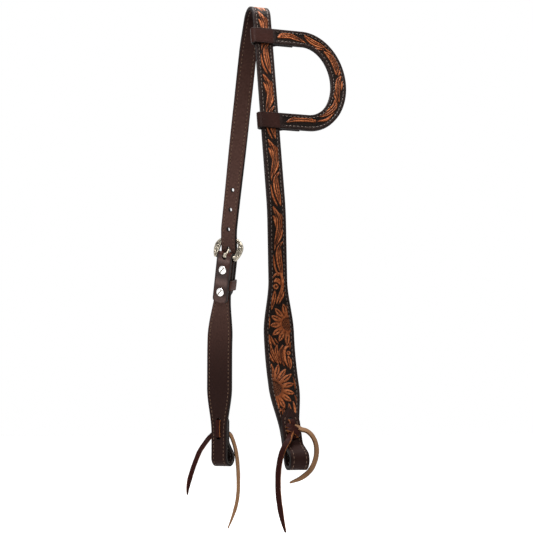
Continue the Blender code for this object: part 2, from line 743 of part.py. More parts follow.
def screws():
    """Each turnback screw with its dome inside, and its post with a flat head under the billet."""
    for name, down in (("upper", UPPER_SCREW), ("lower", LOWER_SCREW)):
        seat = TURNBACK_FACE + GAP
        inward = bar @ at(0, -down) @ turn(180, "Y")
        head, high = SCREW_HEAD_RADIUS, SCREW_HEAD_HEIGHT
        angles = [math.pi / 2 * i / SCREW_DOME_STEPS for i in range(SCREW_DOME_STEPS)]
        profile = [(head * math.sin(a), seat + high * math.cos(a)) for a in angles]
        profile += [(head, seat), (SCREW_RADIUS, seat), (SCREW_RADIUS, 0), (0, 0)]
        screw = turned(f"{name}_screw", profile, inward)
        bm = bmesh.new()
        bmesh.ops.create_cube(bm, size=1)
        size = (2 * head + OVERRUN, SCREW_SLOT_WIDTH, 2 * SCREW_SLOT_DEPTH)
        bmesh.ops.scale(bm, verts=bm.verts, vec=size)
        place = inward @ at(0, 0, seat + high) @ turn(SCREW_SLOT_TURN, "Z")
        slot = as_cutter(object_from(f"{name}_screw_slot", bm, place))
        finish(cut(screw, slot), (0.75, 0.74, 0.72), 0.22, 1)
        post_head = seat + POST_HEAD_HEIGHT
        bore = SCREW_RADIUS + GAP
        profile = [
            (0, post_head), (head, post_head), (head, seat), (POST_RADIUS, seat),
            (POST_RADIUS, -TURNBACK_FACE), (bore, -TURNBACK_FACE),
            (bore, seat - POST_CAP), (0, seat - POST_CAP),
        ]
        post = turned(f"{name}_screw_post", profile, bar @ at(0, -down))
        finish(post, (0.7, 0.69, 0.66), 0.3, 1)


def ear_wrap():
    """The ear tail's middle line in the plane of (across, outward), from over the strap's face."""
    out = STRAP / 2 + GAP + TOOLED / 2
    behind_lining = STRAP / 2 - LINING - GAP - TOOLED / 2
    angle = math.acos(1 - (behind_lining + out) / 2 / EAR_TAIL_BEND)
    run = EAR_TAIL_END - STRAP_WIDTH / 2 - 2 * EAR_TAIL_BEND * math.sin(angle)
    bend = EAR_TAIL_BEND * angle
    return Path(
        (-STRAP_WIDTH / 2, out),
        180,
        (
            (math.pi * out, 180),
            (STRAP_WIDTH, 0),
            (bend, math.degrees(angle)),
            (bend, -math.degrees(angle)),
            (run, 0),
        ),
    )


def ear_curve(inset):
    """The D's end from its upper arm to its lower one, inset from the outer edge."""
    reach, rise = EAR_REACH - inset, EAR_HEIGHT / 2 - inset
    out = []
    for i in range(EAR_POINTS + 1):
        angle = math.pi / 2 - math.pi * i / EAR_POINTS
        out.append((EAR_ARM + reach * math.cos(angle), EAR_HEIGHT / 2 - rise * math.sin(angle)))
    return out


def ear_outline(start):
    """The D with both its arms, from the distance start across the leg."""
    outer = [(start, 0), *ear_curve(0), (start, EAR_HEIGHT)]
    inner = [(start, EAR_BAND), *ear_curve(EAR_BAND), (start, EAR_HEIGHT - EAR_BAND)]
    return outer + inner[::-1]


def ear():
    """The ear strap round the right leg, its origin on that leg's middle line at its own middle."""
    wrap = ear_wrap()
    middle = right.matrix(EAR_PLACE + EAR_HEIGHT / 2)
    turn_back = -STRAP_WIDTH / 2

    def place(x, y, h):
        if x >= turn_back:
            across, out = x, wrap.start[1] + h
        else:
            across, out, heading = wrap.at(turn_back - x)
            across += math.sin(heading) * h
            out -= math.cos(heading) * h
        return Vector((across, EAR_HEIGHT / 2 - y, out))

    def turned_by(x):
        angle, s = 0, turn_back - x
        for length, bend in wrap.stretches:
            run = max(0, min(s, length))
            angle += abs(bend) * run / length
            s -= length
        return -angle

    start = turn_back - wrap.length
    bm = flat("ear_strap", [ear_outline(start)], TOOLED)
    score(bm, scores(start, turn_back, turned_by) + [turn_back], 0)
    lay(bm, place)
    finish(object_from("ear_strap", bm, middle), (0.2, 0.08, 0.035), 0.5)
    lining_start = STRAP_WIDTH / 2 + GAP
    depth = wrap.start[1] - TOOLED / 2 - GAP - LINING / 2
    bm = flat("ear_lining", [ear_outline(lining_start)], LINING)
    for vertex in bm.verts:
        x, y, h = vertex.co
        vertex.co = (x, EAR_HEIGHT / 2 - y, depth + h)
    finish(object_from("ear_lining", bm, middle), (0.055, 0.022, 0.016), 0.6)


def lace_path():
    """The knotted lace's middle line in the plane of (up the strap, outward)."""
    outside = STRAP / 2 + GAP + STRAP + GAP + LACE_THICKNESS / 2
    inside = STRAP / 2 + GAP + LACE_THICKNESS / 2
    through = outside + inside - 2 * LACE_BEND
    corner = (LACE_BEND * math.pi / 2, -90)
    bridge = LACE_UPPER_HOLE + LACE_LOWER_HOLE - 2 * LACE_BEND
    start = LACE_UPPER_HOLE - LACE_END_FROM_TOP
    return Path(
        (start, outside),
        0,
        (
            (LACE_END_FROM_TOP - LACE_BEND, 0),
            corner,
            (through, 0),
            corner,
            (bridge, 0),
            corner,
            (through, 0),
            corner,
            (LACE_END_FROM_FOOT, 0),
        ),
    )


def lace_outline():
    path = lace_path()
    half = LACE_THICKNESS / 2
    steps = scores(0, path.length, lambda s: math.degrees(path.at(s)[2]))
    sides = [[], []]
    for s in [0, *steps, path.length]:
        x, y, heading = path.at(s)
        for side, sign in zip(sides, (1, -1)):
            side.append((x - sign * half * math.sin(heading), y + sign * half * math.cos(heading)))
    return sides[0] + sides[1][::-1]


def lace_knot(name, leg):
    """The lace through both holes, with its two wraps on the outside, as one body."""
    place = leg.matrix(leg.fold, leg.middle)
    bm = flat(name, [lace_outline()], LACE_WIDTH)
    # The outline's X runs up the strap and its Y outward.
    swap = Matrix(((0, 0, 1), (1, 0, 0), (0, 1, 0)))
    bmesh.ops.transform(bm, matrix=swap.to_4x4(), verts=bm.verts)
    obj = object_from(name, bm, place)
    seat = STRAP / 2 + GAP + STRAP + GAP
    for i, share in enumerate(wrap_place_shares):
        bm = bmesh.new()
        bmesh.ops.create_cube(bm, size=1)
        size = (WRAP_LENGTH, LACE_WIDTH, WRAP_THICKNESS)
        bmesh.ops.scale(bm, verts=bm.verts, vec=size)
        bmesh.ops.bevel(
            bm, geom=bm.edges, offset=WRAP_ROUNDING, segments=2, profile=0.5, affect="EDGES"
        )
        up = (LACE_UPPER_HOLE - LACE_END_FROM_TOP) * (1 - share)
        out = seat + WRAP_THICKNESS / 2 + (i + 1) * JOIN_OVERLAP
        lie = place @ at(0, up, out) @ turn(-WRAP_TILT, "Z")
        cut(obj, as_cutter(object_from(f"{name}_wrap_{i}", bm, lie)), "UNION")
    finish(obj, (0.05, 0.017, 0.012), 0.5)


def smooth_route(route):
    """A smooth curve through the route's points, with a point about every two widths."""
    points = [Vector(p) * MM for p in route]
    padded = [2 * points[0] - points[1], *points, 2 * points[-1] - points[-2]]
    out = []
    for a, b, c, d in zip(padded, padded[1:], padded[2:], padded[3:]):
        for t in (0, 0.5):
            out.append(
                b + (c - a) * (t / 2) + (2 * a - 5 * b + 4 * c - d) * (t * t / 2)
                + (3 * b - a - 3 * c + d) * (t * t * t / 2)
            )
    return [*out, points[-1]]


def lace_tail(name, route, width, colour):
    curve = bpy.data.curves.new(name, "CURVE")
    curve.dimensions = "3D"
    curve.bevel_depth = width / 2
    curve.bevel_resolution = 2
    curve.use_fill_caps = True
    points = smooth_route(route)
    spline = curve.splines.new("POLY")
    spline.points.add(len(points) - 1)
    for point, place in zip(spline.points, points):
        point.co = (*place, 1)
    finish(bpy.data.objects.new(name, curve), colour, 0.6)


def laces():
    lace_knot("right_lace_knot", right)
    lace_knot("left_lace_knot", cheek)
    dark, tan = (0.05, 0.017, 0.012), (0.2, 0.1, 0.05)
    lace_tail("right_lace_tail_dark", RIGHT_DARK_ROUTE, RIGHT_DARK_WIDTH, dark)
    lace_tail("right_lace_tail_tan", RIGHT_TAN_ROUTE, RIGHT_TAN_WIDTH, tan)
    lace_tail("left_lace_tail_dark", LEFT_DARK_ROUTE, LEFT_DARK_WIDTH, dark)
    lace_tail("left_lace_tail_tan", LEFT_TAN_ROUTE, LEFT_TAN_WIDTH, tan)


def headstall():
    for obj in list(bpy.data.objects):
        bpy.data.objects.remove(obj, do_unlink=True)
    bpy.context.scene.collection.children.link(parts)
    bpy.context.scene.collection.children.link(cutters)
    crown()
    ear()
    left_cheek()
    keeper()
    buckle_frame()
    buckle_tongue()
    screws()
    laces()


headstall()
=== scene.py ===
"""The finished looks of a western slip-ear headstall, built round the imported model, in metres, +Z up.

Every strap is swept along the same line as its solid, with its tooled face carved as real relief.
"""

import math

import bpy
import numpy as np
from mathutils import Matrix, Vector


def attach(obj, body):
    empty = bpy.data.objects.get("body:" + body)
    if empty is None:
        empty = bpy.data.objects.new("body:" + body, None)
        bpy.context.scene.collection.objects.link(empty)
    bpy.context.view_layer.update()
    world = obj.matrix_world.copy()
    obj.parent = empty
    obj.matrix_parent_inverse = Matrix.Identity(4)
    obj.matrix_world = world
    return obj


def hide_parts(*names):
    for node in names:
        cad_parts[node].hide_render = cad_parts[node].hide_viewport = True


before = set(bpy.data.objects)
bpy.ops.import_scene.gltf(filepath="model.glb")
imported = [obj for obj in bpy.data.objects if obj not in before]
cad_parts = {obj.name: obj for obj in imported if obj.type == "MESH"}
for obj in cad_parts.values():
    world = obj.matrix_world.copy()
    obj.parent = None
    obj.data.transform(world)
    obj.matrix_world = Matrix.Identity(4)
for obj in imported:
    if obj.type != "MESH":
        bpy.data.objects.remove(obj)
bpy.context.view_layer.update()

MM = 0.001

# The straps, as in the solids
STRAP_WIDTH = 19 * MM
TOOLED, LINING, GAP = 2.0 * MM, 1.5 * MM, 0.3 * MM
STRAP = TOOLED + GAP + LINING
TOOLED_MIDDLE = (STRAP - TOOLED) / 2
LINING_MIDDLE = (LINING - STRAP) / 2
CROWN_RADIUS = 15 * MM
BUCKLE_DROP = 275 * MM
LEFT_TWIST = 50.0
TWIST_FROM, TWIST_LENGTH = 18 * MM, 215 * MM
FLARE_WIDTH, FLARE_FOOT, FLARE_FALL = 31 * MM, 3 * MM, 50 * MM
FLARE_PLATEAU, FLARE_RISE = 55 * MM, 54 * MM
EYE_RADIUS, EYE_STRAIGHT, EYE_TURN, EYE_CLOSE_RADIUS = 6 * MM, 24 * MM, 220, 10 * MM
EYE_FLAT_FROM, EYE_EASE, EYE_BELLY = 16 * MM, 1 * MM, 1.5
FOLDED_ARM, POINT_LENGTH = 34 * MM, 14 * MM
point_shares = ((0, 0), (0.1, 0.14), (0.2, 0.3), (0.31, 0.5), (0.5, 0.68), (0.7, 0.83), (1, 1))
BAR_RADIUS = 1.7 * MM
FRAME_OPENING, FRAME_SIDE, FRAME_HEIGHT = 21.8 * MM, 7.3 * MM, 26.2 * MM
FRAME_BELOW_BAR, FRAME_END, FRAME_TOP_RIM = 3.8 * MM, 3.2 * MM, 5.7 * MM
FRAME_THICKNESS, FRAME_TILT, OPENING_SQUARENESS = 3.2 * MM, 25.0, 4
TONGUE_WIDTH, TONGUE_WALL, TONGUE_RADIUS = 4 * MM, 1.3 * MM, 1.2 * MM
TURNBACK, TURNBACK_ROUNDING = 53 * MM, 4 * MM
turnback_shares = ((0, 0), (0.06, 0.55), (0.25, 0.82), (0.6, 0.96), (1, 1))
SLOT_CLEARANCE, LINING_START = 0.7 * MM, 6 * MM
UPPER_SCREW, LOWER_SCREW, POST_HEAD_HEIGHT, POST_RADIUS = 15.8 * MM, 41 * MM, 0.8 * MM, 2.4 * MM
KEEPER_WIDTH, KEEPER_PLACE, KEEPER_THICKNESS = 12 * MM, 32.3 * MM, 1.5 * MM
KEEPER_CLEARANCE, KEEPER_CORNER = 0.4 * MM, 1.7 * MM
BILLET_END, BILLET_TIP = 50 * MM, 18 * MM
billet_shares = ((0, 0), (0.03, 0.28), (0.15, 0.56), (0.45, 0.86), (1, 1))
BILLET_LIFT_FROM, BILLET_LIFT_TO = 34 * MM, 8 * MM
HOLE_RADIUS, WORN_HOLE_RADIUS, WORN_HOLE_STRETCH = 2.1 * MM, 2.3 * MM, 2.3 * MM
SCREW_HEAD_RADIUS, SCREW_HEAD_HEIGHT, SCREW_RADIUS = 4.7 * MM, 1.9 * MM, 1.5 * MM
SCREW_SLOT_WIDTH, SCREW_SLOT_DEPTH, SCREW_SLOT_TURN = 1.2 * MM, 0.8 * MM, -58
HOLE_IN_USE, HOLE_PITCH = 7.8 * MM, 22 * MM
EAR_PLACE, EAR_BAND, EAR_HEIGHT = 35 * MM, 17 * MM, 112 * MM
EAR_ARM, EAR_REACH, EAR_TAIL_END, EAR_TAIL_BEND = 42 * MM, 45.5 * MM, 32 * MM, 5 * MM
LACE_LOWER_HOLE, LACE_UPPER_HOLE, LACE_HOLE_RADIUS = 1.5 * MM, 16.5 * MM, 3.2 * MM

# The laces' routes, in millimetres, as in the solids
RIGHT_DARK_ROUTE = (
    (-4.6, -107.6, -444.3), (-8, -112.6, -448.5), (-12.6, -114, -454.5), (-16.2, -114, -463),
    (-18.4, -113.6, -475), (-19, -113.4, -487), (-18.6, -113.2, -499), (-17, -113, -511),
    (-14.6, -112.8, -523), (-11.2, -112.6, -535),
)
RIGHT_TAN_ROUTE = (
    (8.3, -105, -438.6), (12.8, -107.4, -440), (17.6, -109.2, -444.8), (20.6, -110.6, -452),
    (20.8, -112, -460.5), (18.4, -113, -469.2), (13.2, -114, -477.4), (4, -115, -484),
    (-8, -115.6, -488.5),
)
LEFT_DARK_ROUTE = (
    (3.6, 140.2, -441.2), (0.6, 142.8, -444.2), (-4.8, 144.8, -449.5), (-10.2, 144.2, -456),
    (-16, 143.6, -464), (-20.6, 143, -474), (-24.6, 142.5, -484), (-28.2, 142, -495),
    (-30.4, 141.5, -505), (-31, 141, -512),
)
LEFT_TAN_ROUTE = (
    (14, 127.4, -445.6), (17.6, 127.4, -453), (20.4, 127.5, -462), (22.4, 127.7, -473),
    (23.6, 128, -485), (24, 128, -498), (23.6, 128, -511), (21.4, 128, -524), (17, 128, -537),
    (11.8, 128, -549),
)


class Path:
    """A line in a plane: stretches of (length, degrees that it turns left over that length)."""

    def __init__(self, start, heading, stretches):
        self.start, self.heading, self.stretches = start, math.radians(heading), stretches
        self.length = sum(length for length, _ in stretches)

    def at(self, s):
        """The place s along it and the heading there; it runs straight on past its ends."""
        (x, y), heading = self.start, self.heading
        for i, (length, turn) in enumerate(self.stretches):
            last = i == len(self.stretches) - 1
            if s <= length or last:
                run = s if turn == 0 or s < 0 else min(s, length)
                bend = 0 if s < 0 else turn
            else:
                run, bend = length, turn
            angle = math.radians(bend) * run / length
            chord = run if bend == 0 else run * math.sin(angle / 2) / (angle / 2) if angle else run
            x += chord * math.cos(heading + angle / 2)
            y += chord * math.sin(heading + angle / 2)
            heading += angle
            s -= run
            if s <= 0 or last:
                break
        return x + s * math.cos(heading), y + s * math.sin(heading), heading


def fold_path():
    """The bit end's fold in the plane of (down the strap, outward), from the strap's middle line."""
    fold_radius = EYE_RADIUS + STRAP / 2
    closing = EYE_TURN - 180
    angle = math.radians(closing)
    whole_turn = EYE_TURN + EYE_BELLY
    opening = (
        (EYE_FLAT_FROM, 0),
        (EYE_EASE, -EYE_BELLY),
        (EYE_STRAIGHT - EYE_FLAT_FROM - EYE_EASE, 0),
        (fold_radius * math.radians(whole_turn), whole_turn),
    )
    length = sum(run for run, _ in opening)
    out_at_turn = Path((0, 0), 0, opening).at(length)[1]
    back = out_at_turn - (STRAP + GAP) - EYE_CLOSE_RADIUS * (1 - math.cos(angle))
    closed = ((back / math.sin(angle), 0), (EYE_CLOSE_RADIUS * angle, -closing), (FOLDED_ARM, 0))
    return Path((0, 0), 0, opening + closed)


FOLD = fold_path()


def ease(share):
    """0 to 1 with level ends, as share goes from 0 to 1."""
    share = np.clip(share, 0, 1)
    return share * share * (3 - 2 * share)


class Leg:
    """One side of the headstall. Along it, u is across, s is down from the crown, h is outward."""

    def __init__(self, side, runs, twist=0, middle=0):
        lean = runs[0][1]
        stretches = [(CROWN_RADIUS * math.radians(90 - lean), lean - 90)]
        for length, next_lean in runs:
            stretches.append((length, next_lean - lean))
            lean = next_lean
        self.side, self.twist, self.middle = side, twist, middle
        self.path = Path((0, STRAP / 2), 0, tuple(stretches))
        self.fold = self.path.length
        self.end = self.fold + FOLD.length

    def frame(self, s):
        """The middle line's point at s, and the directions across, down and outward there."""
        y, z, heading = self.path.at(min(s, self.fold))
        down = Vector((0, self.side * math.cos(heading), math.sin(heading)))
        outward = Vector((0, -self.side * math.sin(heading), math.cos(heading)))
        turned = math.radians(self.twist) * float(ease((s - TWIST_FROM) / TWIST_LENGTH))
        across = Vector((1, 0, 0))
        across, outward = (
            across * math.cos(turned) - outward * math.sin(turned),
            outward * math.cos(turned) + across * math.sin(turned),
        )
        return Vector((0, self.side * y, z)), across, down, outward

    def station(self, s, lift=0):
        """Where a cross-section of the strap stands: its middle, across it and out of its face."""
        point, across, down, outward = self.frame(s)
        point = point + outward * (self.middle + lift)
        if s <= self.fold:
            return point, across, outward
        v, n, angle = FOLD.at(s - self.fold)
        out = outward * math.cos(angle) - down * math.sin(angle)
        return point + down * v + outward * n, across, out

    def matrix(self, s, h=0):
        """A frame of reference on the strap: X across, Y up along it, Z outward."""
        point, across, down, outward = self.frame(s)
        out = Matrix((across, -down, outward)).transposed().to_4x4()
        out.translation = point + outward * h
        return out


# Each leg's runs down from the crown: its length, and how many degrees it leans out at its end
RIGHT_RUNS = ((199 * MM, 11.8), (30 * MM, 3.0), (100 * MM, 3.0), (56 * MM, 20.5), (62 * MM, 20.5))
LEFT_TOP, LEFT_TOP_LEAN, LEFT_EASE, LEFT_BELOW_BAR = 22 * MM, 28.0, 15 * MM, 43.2 * MM
LEFT_CROWN_ARC = CROWN_RADIUS * math.radians(90 - LEFT_TOP_LEAN)
LEFT_MAIN = BUCKLE_DROP + LEFT_BELOW_BAR - LEFT_EASE - LEFT_TOP - LEFT_CROWN_ARC
LEFT_RUNS = (
    (LEFT_TOP, LEFT_TOP_LEAN), (LEFT_EASE, 18.8), (LEFT_MAIN, 18.8), (71 * MM, 0.0), (87 * MM, 0.0),
)

# Heights of the turnback's layers above the left strap's middle line
WRAP_RADIUS = BAR_RADIUS + GAP + TOOLED / 2
TURNBACK_FACE = WRAP_RADIUS + TOOLED / 2
CHEEK_MIDDLE = TURNBACK_FACE - STRAP / 2
BILLET_LIFT = TURNBACK_FACE + GAP + POST_HEAD_HEIGHT + GAP + STRAP / 2
KEEPER_INNER = CHEEK_MIDDLE - STRAP / 2 - GAP - KEEPER_THICKNESS / 2
KEEPER_OUTER = BILLET_LIFT + STRAP / 2 + GAP + KEEPER_THICKNESS / 2

right = Leg(-1, RIGHT_RUNS)
left = Leg(1, LEFT_RUNS, LEFT_TWIST)
cheek = Leg(1, LEFT_RUNS, LEFT_TWIST, CHEEK_MIDDLE)
bar = left.matrix(BUCKLE_DROP)


def turn(degrees, axis):
    """A turn about one of a frame's own axes."""
    return Matrix.Rotation(math.radians(degrees), 4, axis)


def at(x=0, y=0, z=0):
    """A step along a frame's own axes."""
    return Matrix.Translation((x, y, z))


def placed(matrix, points):
    """Points of a piece's own frame, as lists in metres."""
    return [list(matrix @ Vector(point)) for point in points]


def ramp(x, start, over):
    """0 up to a start, then rising to 1 over a distance."""
    return np.clip((x - start) / over, 0, 1)


def run_along(line):
    """How far along a line each of its points is."""
    return np.concatenate([[0], np.cumsum(np.linalg.norm(np.diff(line, axis=0), axis=1))])


# The camera stands where the photograph's did, a little below and to the left.
camera = bpy.data.objects.new("camera", bpy.data.cameras.new("camera"))
bpy.context.scene.collection.objects.link(camera)
camera.data.lens = 97.65
camera.location = (-0.5008, -1.4053, -0.4280)
aim = Vector((0.0094, -0.0034, -0.2712)) - camera.location
camera.rotation_euler = aim.to_track_quat("-Z", "Y").to_euler()
bpy.context.scene.camera = camera


def colour(hexadecimal):
    """An sRGB hex value as linear red, green, blue and 1."""
    parts = [int(hexadecimal[i:i + 2], 16) / 255 for i in (1, 3, 5)]
    linear = [c / 12.92 if c <= 0.04045 else ((c + 0.055) / 1.055) ** 2.4 for c in parts]
    return (*linear, 1)


def feed(tree, node, inputs):
    """Gives each of a node's sockets a value, or the output that it takes."""
    for socket, value in inputs.items():
        if isinstance(value, bpy.types.NodeSocket):
            tree.links.new(value, node.inputs[socket])
        else:
            node.inputs[socket].default_value = value


def add(tree, kind, inputs, **settings):
    """Adds one node with its settings, its values and its links."""
    out = tree.nodes.new(kind)
    for name, value in settings.items():
        setattr(out, name, value)
    feed(tree, out, inputs)
    return out


def new_material(name):
    """A material with its Principled shader, and where on the piece, in metres, each point is."""
    out = bpy.data.materials.new(name)
    out.use_nodes = True
    tree = out.node_tree
    where = add(tree, "ShaderNodeTexCoord", {}).outputs["Object"]
    return out, tree, tree.nodes["Principled BSDF"], where


# Oiled leather's pores swallow most of the shine that a smooth surface would give
LEATHER_SHINE = 0.05


def leather(name, tones, rough, grain_mm, grain_depth, coat=0.0):
    """Leather with its tones laid where the piece's paint says.

    Paint red is how much carved leaf shows, green the leaf's painted shade and highlight (or how much
    painted sheen a plain face has), blue the smooth border or edge, and alpha how red and plain an
    uncarved face is, or how much painted sheen lies over a leaf.
    """
    out, tree, shader, where = new_material(name)
    paint = add(tree, "ShaderNodeAttribute", {}, attribute_name="paint")
    split = add(tree, "ShaderNodeSeparateColor", {0: paint.outputs["Color"]})
    # Hide colour drifts over centimetres and the dye takes unevenly over a millimetre or so
    drift = add(tree, "ShaderNodeTexNoise", {"Vector": where, "Scale": 1 / (22 * MM), "Detail": 3})
    fine = add(tree, "ShaderNodeTexNoise", {"Vector": where, "Scale": 1 / (2.2 * MM), "Detail": 4})
    # Grain pores and matting dots are under a millimetre; they are drawn as coarse as they must show
    grain = add(tree, "ShaderNodeTexVoronoi", {"Vector": where, "Scale": 1 / (grain_mm * MM)})
    shares = {
        "carved": split.outputs[0], "lit": split.outputs[1], "edged": split.outputs[2],
        "bare": paint.outputs["Alpha"],
    }
    for use, source, low, high, least, most in (
        ("uneven", fine, 0.35, 0.7, 0.0, 1.0), ("broad", drift, 0.35, 0.65, 0.0, 1.0),
        ("dotted", grain, 0.1, 0.55, 1.0, 0.0), ("patchy", fine, 0.32, 0.68, 0.62, 1.0),
        ("dull", fine, 0.3, 0.7, rough - 0.07, rough + 0.1),
    ):
        spread = {0: source.outputs[0], 1: low, 2: high, 3: least, 4: most}
        shares[use] = add(tree, "ShaderNodeMapRange", spread).outputs[0]
    # Each step lays one dye over another by a share, and the last three build up the whole colour.
    # The green share lays painted sheen on plain faces and takes a leaf from painted shade to painted
    # highlight
    dyes = {part: colour(tone) for part, tone in tones.items()}
    for made, share, under, over in (
        ("ground", "dotted", "ground", "ground_light"), ("edge", "uneven", "edge", "edge_light"),
        ("plain", "broad", "plain", "plain_light"), ("painted_sheen", "patchy", "plain", "painted_sheen"),
        ("plain", "lit", "plain", "painted_sheen"), ("leaf_shaded", "broad", "leaf_shaded", "leaf_mid"),
        ("leaf_lit", "uneven", "leaf_mid", "leaf_lit"), ("leaf", "lit", "leaf_shaded", "leaf_lit"),
        ("whole", "edged", "ground", "edge"), ("whole", "carved", "whole", "leaf"),
        ("whole", "bare", "whole", "plain"),
    ):
        laid = {"Factor": shares[share], 6: dyes[under], 7: dyes[over]}
        dyes[made] = add(tree, "ShaderNodeMix", laid, data_type="RGBA").outputs[2]
    pores = {"Strength": 1.0, "Distance": grain_depth * MM, "Height": grain.outputs[0]}
    puckers = {
        "Strength": 1.0, "Distance": 0.12 * MM, "Height": fine.outputs[0],
        "Normal": add(tree, "ShaderNodeBump", pores).outputs[0],
    }
    feed(tree, shader, {
        "Base Color": dyes["whole"], "Roughness": shares["dull"],
        "Normal": add(tree, "ShaderNodeBump", puckers).outputs[0],
        "Specular IOR Level": LEATHER_SHINE, "Coat Weight": coat, "Coat Roughness": 0.25,
    })
    return out


# Vegetable-tanned leather, carved, dyed nearly black in the ground and oiled to orange on the leaves.
# Its leaf tones run from painted shade to painted highlight, and its pale tone is painted sheen
tooled_tones = {
    "ground": "#080504", "ground_light": "#281911", "edge": "#150D0B", "edge_light": "#251A17",
    "plain": "#1F0F0B", "plain_light": "#2B1510", "painted_sheen": "#B59C88",
    "leaf_shaded": "#2A1106", "leaf_mid": "#75391B", "leaf_lit": "#C0754A",
}
tooled_leather = leather("tooled_veg_tan_leather", tooled_tones, 0.42, 0.8, 0.16)
# The left cheek's own leather: the same carving, with a redder, glossier turnback, whose pale tone is
# painted sheen
turnback_tones = dict(tooled_tones, plain="#24100B", plain_light="#381A11", painted_sheen="#6B534D")
turnback_leather = leather("tooled_and_glazed_leather", turnback_tones, 0.36, 0.9, 0.06, coat=0.25)
# Oiled skirting-leather lining, plain chocolate brown, with black painted edges and a paler tone that is
# painted sheen
lining_tones = dict(
    tooled_tones, ground="#20110E", ground_light="#2B1814", edge="#0C0807", edge_light="#1B1311",
    painted_sheen="#6C4F47",
)
lining_leather = leather("oiled_lining_leather", lining_tones, 0.48, 0.6, 0.04)
# Glazed strap leather of the keeper: redder, smoother, with a wet-looking gloss
glazed_tones = dict(
    tooled_tones, plain="#34190F", plain_light="#4A2417", edge="#120A08", edge_light="#20120E",
)
glazed_leather = leather("glazed_strap_leather", glazed_tones, 0.3, 0.6, 0.03, coat=0.25)
# Latigo lace: oxblood on the grain side, raw tan on its flesh side and cut edges
lace_tones = dict(
    tooled_tones, ground="#210B08", ground_light="#3B150F", edge="#7C4A2C", edge_light="#A5683E",
)
latigo_lace = leather("oxblood_latigo_lace", lace_tones, 0.46, 0.5, 0.04)
tan_tones = dict(
    lace_tones, ground="#7A5A41", ground_light="#967456", edge="#5A3D28", edge_light="#7D5B3E",
)
tan_lace = leather("tan_latigo_lace", tan_tones, 0.62, 0.5, 0.06)


def thread_material(name, dark, light):
    """Waxed thread: two plies twisted together give it a fine slant and a soft shine."""
    out, tree, shader, where = new_material(name)
    # The plies' bands come out about a millimetre apart
    twist = add(
        tree, "ShaderNodeTexWave", {"Vector": where, "Scale": 1 / (2.6 * MM), "Distortion": 1.5},
        bands_direction="DIAGONAL",
    ).outputs["Fac"]
    plies = {"Factor": twist, 6: colour(dark), 7: colour(light)}
    ridges = {"Strength": 0.6, "Distance": 0.1 * MM, "Height": twist}
    feed(tree, shader, {
        "Base Color": add(tree, "ShaderNodeMix", plies, data_type="RGBA").outputs[2],
        "Roughness": 0.55,
        "Normal": add(tree, "ShaderNodeBump", ridges).outputs[0],
    })
    return out


face_thread = thread_material("waxed_thread_brown", "#231A15", "#5A483A")
back_thread = thread_material("waxed_thread_tan", "#3C281C", "#68492F")


def metal(name, bright, dull, rough, fleck_mm, dark):
    """Cast or turned metal: dulled in flecks, finely scratched, and dark where the paint says so."""
    out, tree, shader, where = new_material(name)
    paint = add(tree, "ShaderNodeAttribute", {}, attribute_name="paint")
    split = add(tree, "ShaderNodeSeparateColor", {0: paint.outputs["Color"]})
    spots = add(tree, "ShaderNodeTexNoise", {"Vector": where, "Scale": 1 / (fleck_mm * MM), "Detail": 4})
    flecks = add(tree, "ShaderNodeMapRange", {0: spots.outputs[0], 1: 0.36, 2: 0.6, 3: 0.0, 4: 1.0})
    base = colour(dull)
    for share, over in ((flecks.outputs[0], bright), (split.outputs[0], dark)):
        laid = {"Factor": share, 6: base, 7: colour(over)}
        base = add(tree, "ShaderNodeMix", laid, data_type="RGBA").outputs[2]
    # Real scratches are hair-fine; these are drawn nearly a millimetre apart, so that they show
    scratches = {"Vector": where, "Scale": 1 / (0.9 * MM), "Detail": 2, "Distortion": 3.0}
    scratch = add(tree, "ShaderNodeTexNoise", scratches).outputs[0]
    dulled = {0: scratch, 1: 0.3, 2: 0.7, 3: rough - 0.06, 4: rough + 0.12}
    dents = {"Strength": 0.5, "Distance": 0.03 * MM, "Height": scratch}
    feed(tree, shader, {
        "Base Color": base, "Metallic": 1.0,
        "Roughness": add(tree, "ShaderNodeMapRange", dulled).outputs[0],
        "Normal": add(tree, "ShaderNodeBump", dents).outputs[0],
    })
    return out


# Antiqued silver plate: warm grey-white on the high places, black in the cuts
antique_silver = metal("antiqued_silver_plate", "#BDB3A2", "#585146", 0.3, 0.7, "#0C0A08")
# Polished nickel: clean and bright, with its screw slots in shade
polished_nickel = metal("polished_nickel", "#F6F5F3", "#DDDBD7", 0.18, 1.6, "#6A645C")


def write_mesh(name, points, faces, paint, finish, body, sharp=40):
    """A mesh piece from its points in metres, its faces and its painted parts, riding on a body."""
    mesh = bpy.data.meshes.new(name)
    points = np.asarray(points, float).reshape(-1, 3)
    corners = points[[face[:3] for face in faces]]
    across = np.cross(corners[:, 1], corners[:, 2])
    if float((corners[:, 0] * across).sum()) < 0:
        faces = [face[::-1] for face in faces]
    mesh.from_pydata(points.tolist(), [], faces)
    mesh.update()
    if paint is not None:
        layer = mesh.color_attributes.new("paint", "FLOAT_COLOR", "POINT")
        layer.data.foreach_set("color", np.ascontiguousarray(paint, np.float32).ravel())
    mesh.shade_smooth()
    mesh.set_sharp_from_angle(angle=math.radians(sharp))
    out = bpy.data.objects.new(name, mesh)
    bpy.context.scene.collection.objects.link(out)
    mesh.materials.append(finish)
    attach(out, body)
    return out


def sweep(rows, round_again=False):
    """Faces over rows of points: each row is a closed loop, and the ends are capped."""
    count, around = rows.shape[:2]
    index = np.arange(count * around).reshape(count, around)
    after = np.roll(index, -1, axis=1)
    if round_again:
        following, after_following = np.roll(index, -1, axis=0), np.roll(after, -1, axis=0)
    else:
        index, after, following, after_following = index[:-1], after[:-1], index[1:], after[1:]
    faces = np.stack([index, after, after_following, following], axis=-1).reshape(-1, 4).tolist()
    if not round_again:
        faces.append(list(range(around))[::-1])
        faces.append(list(range((count - 1) * around, count * around)))
    return faces


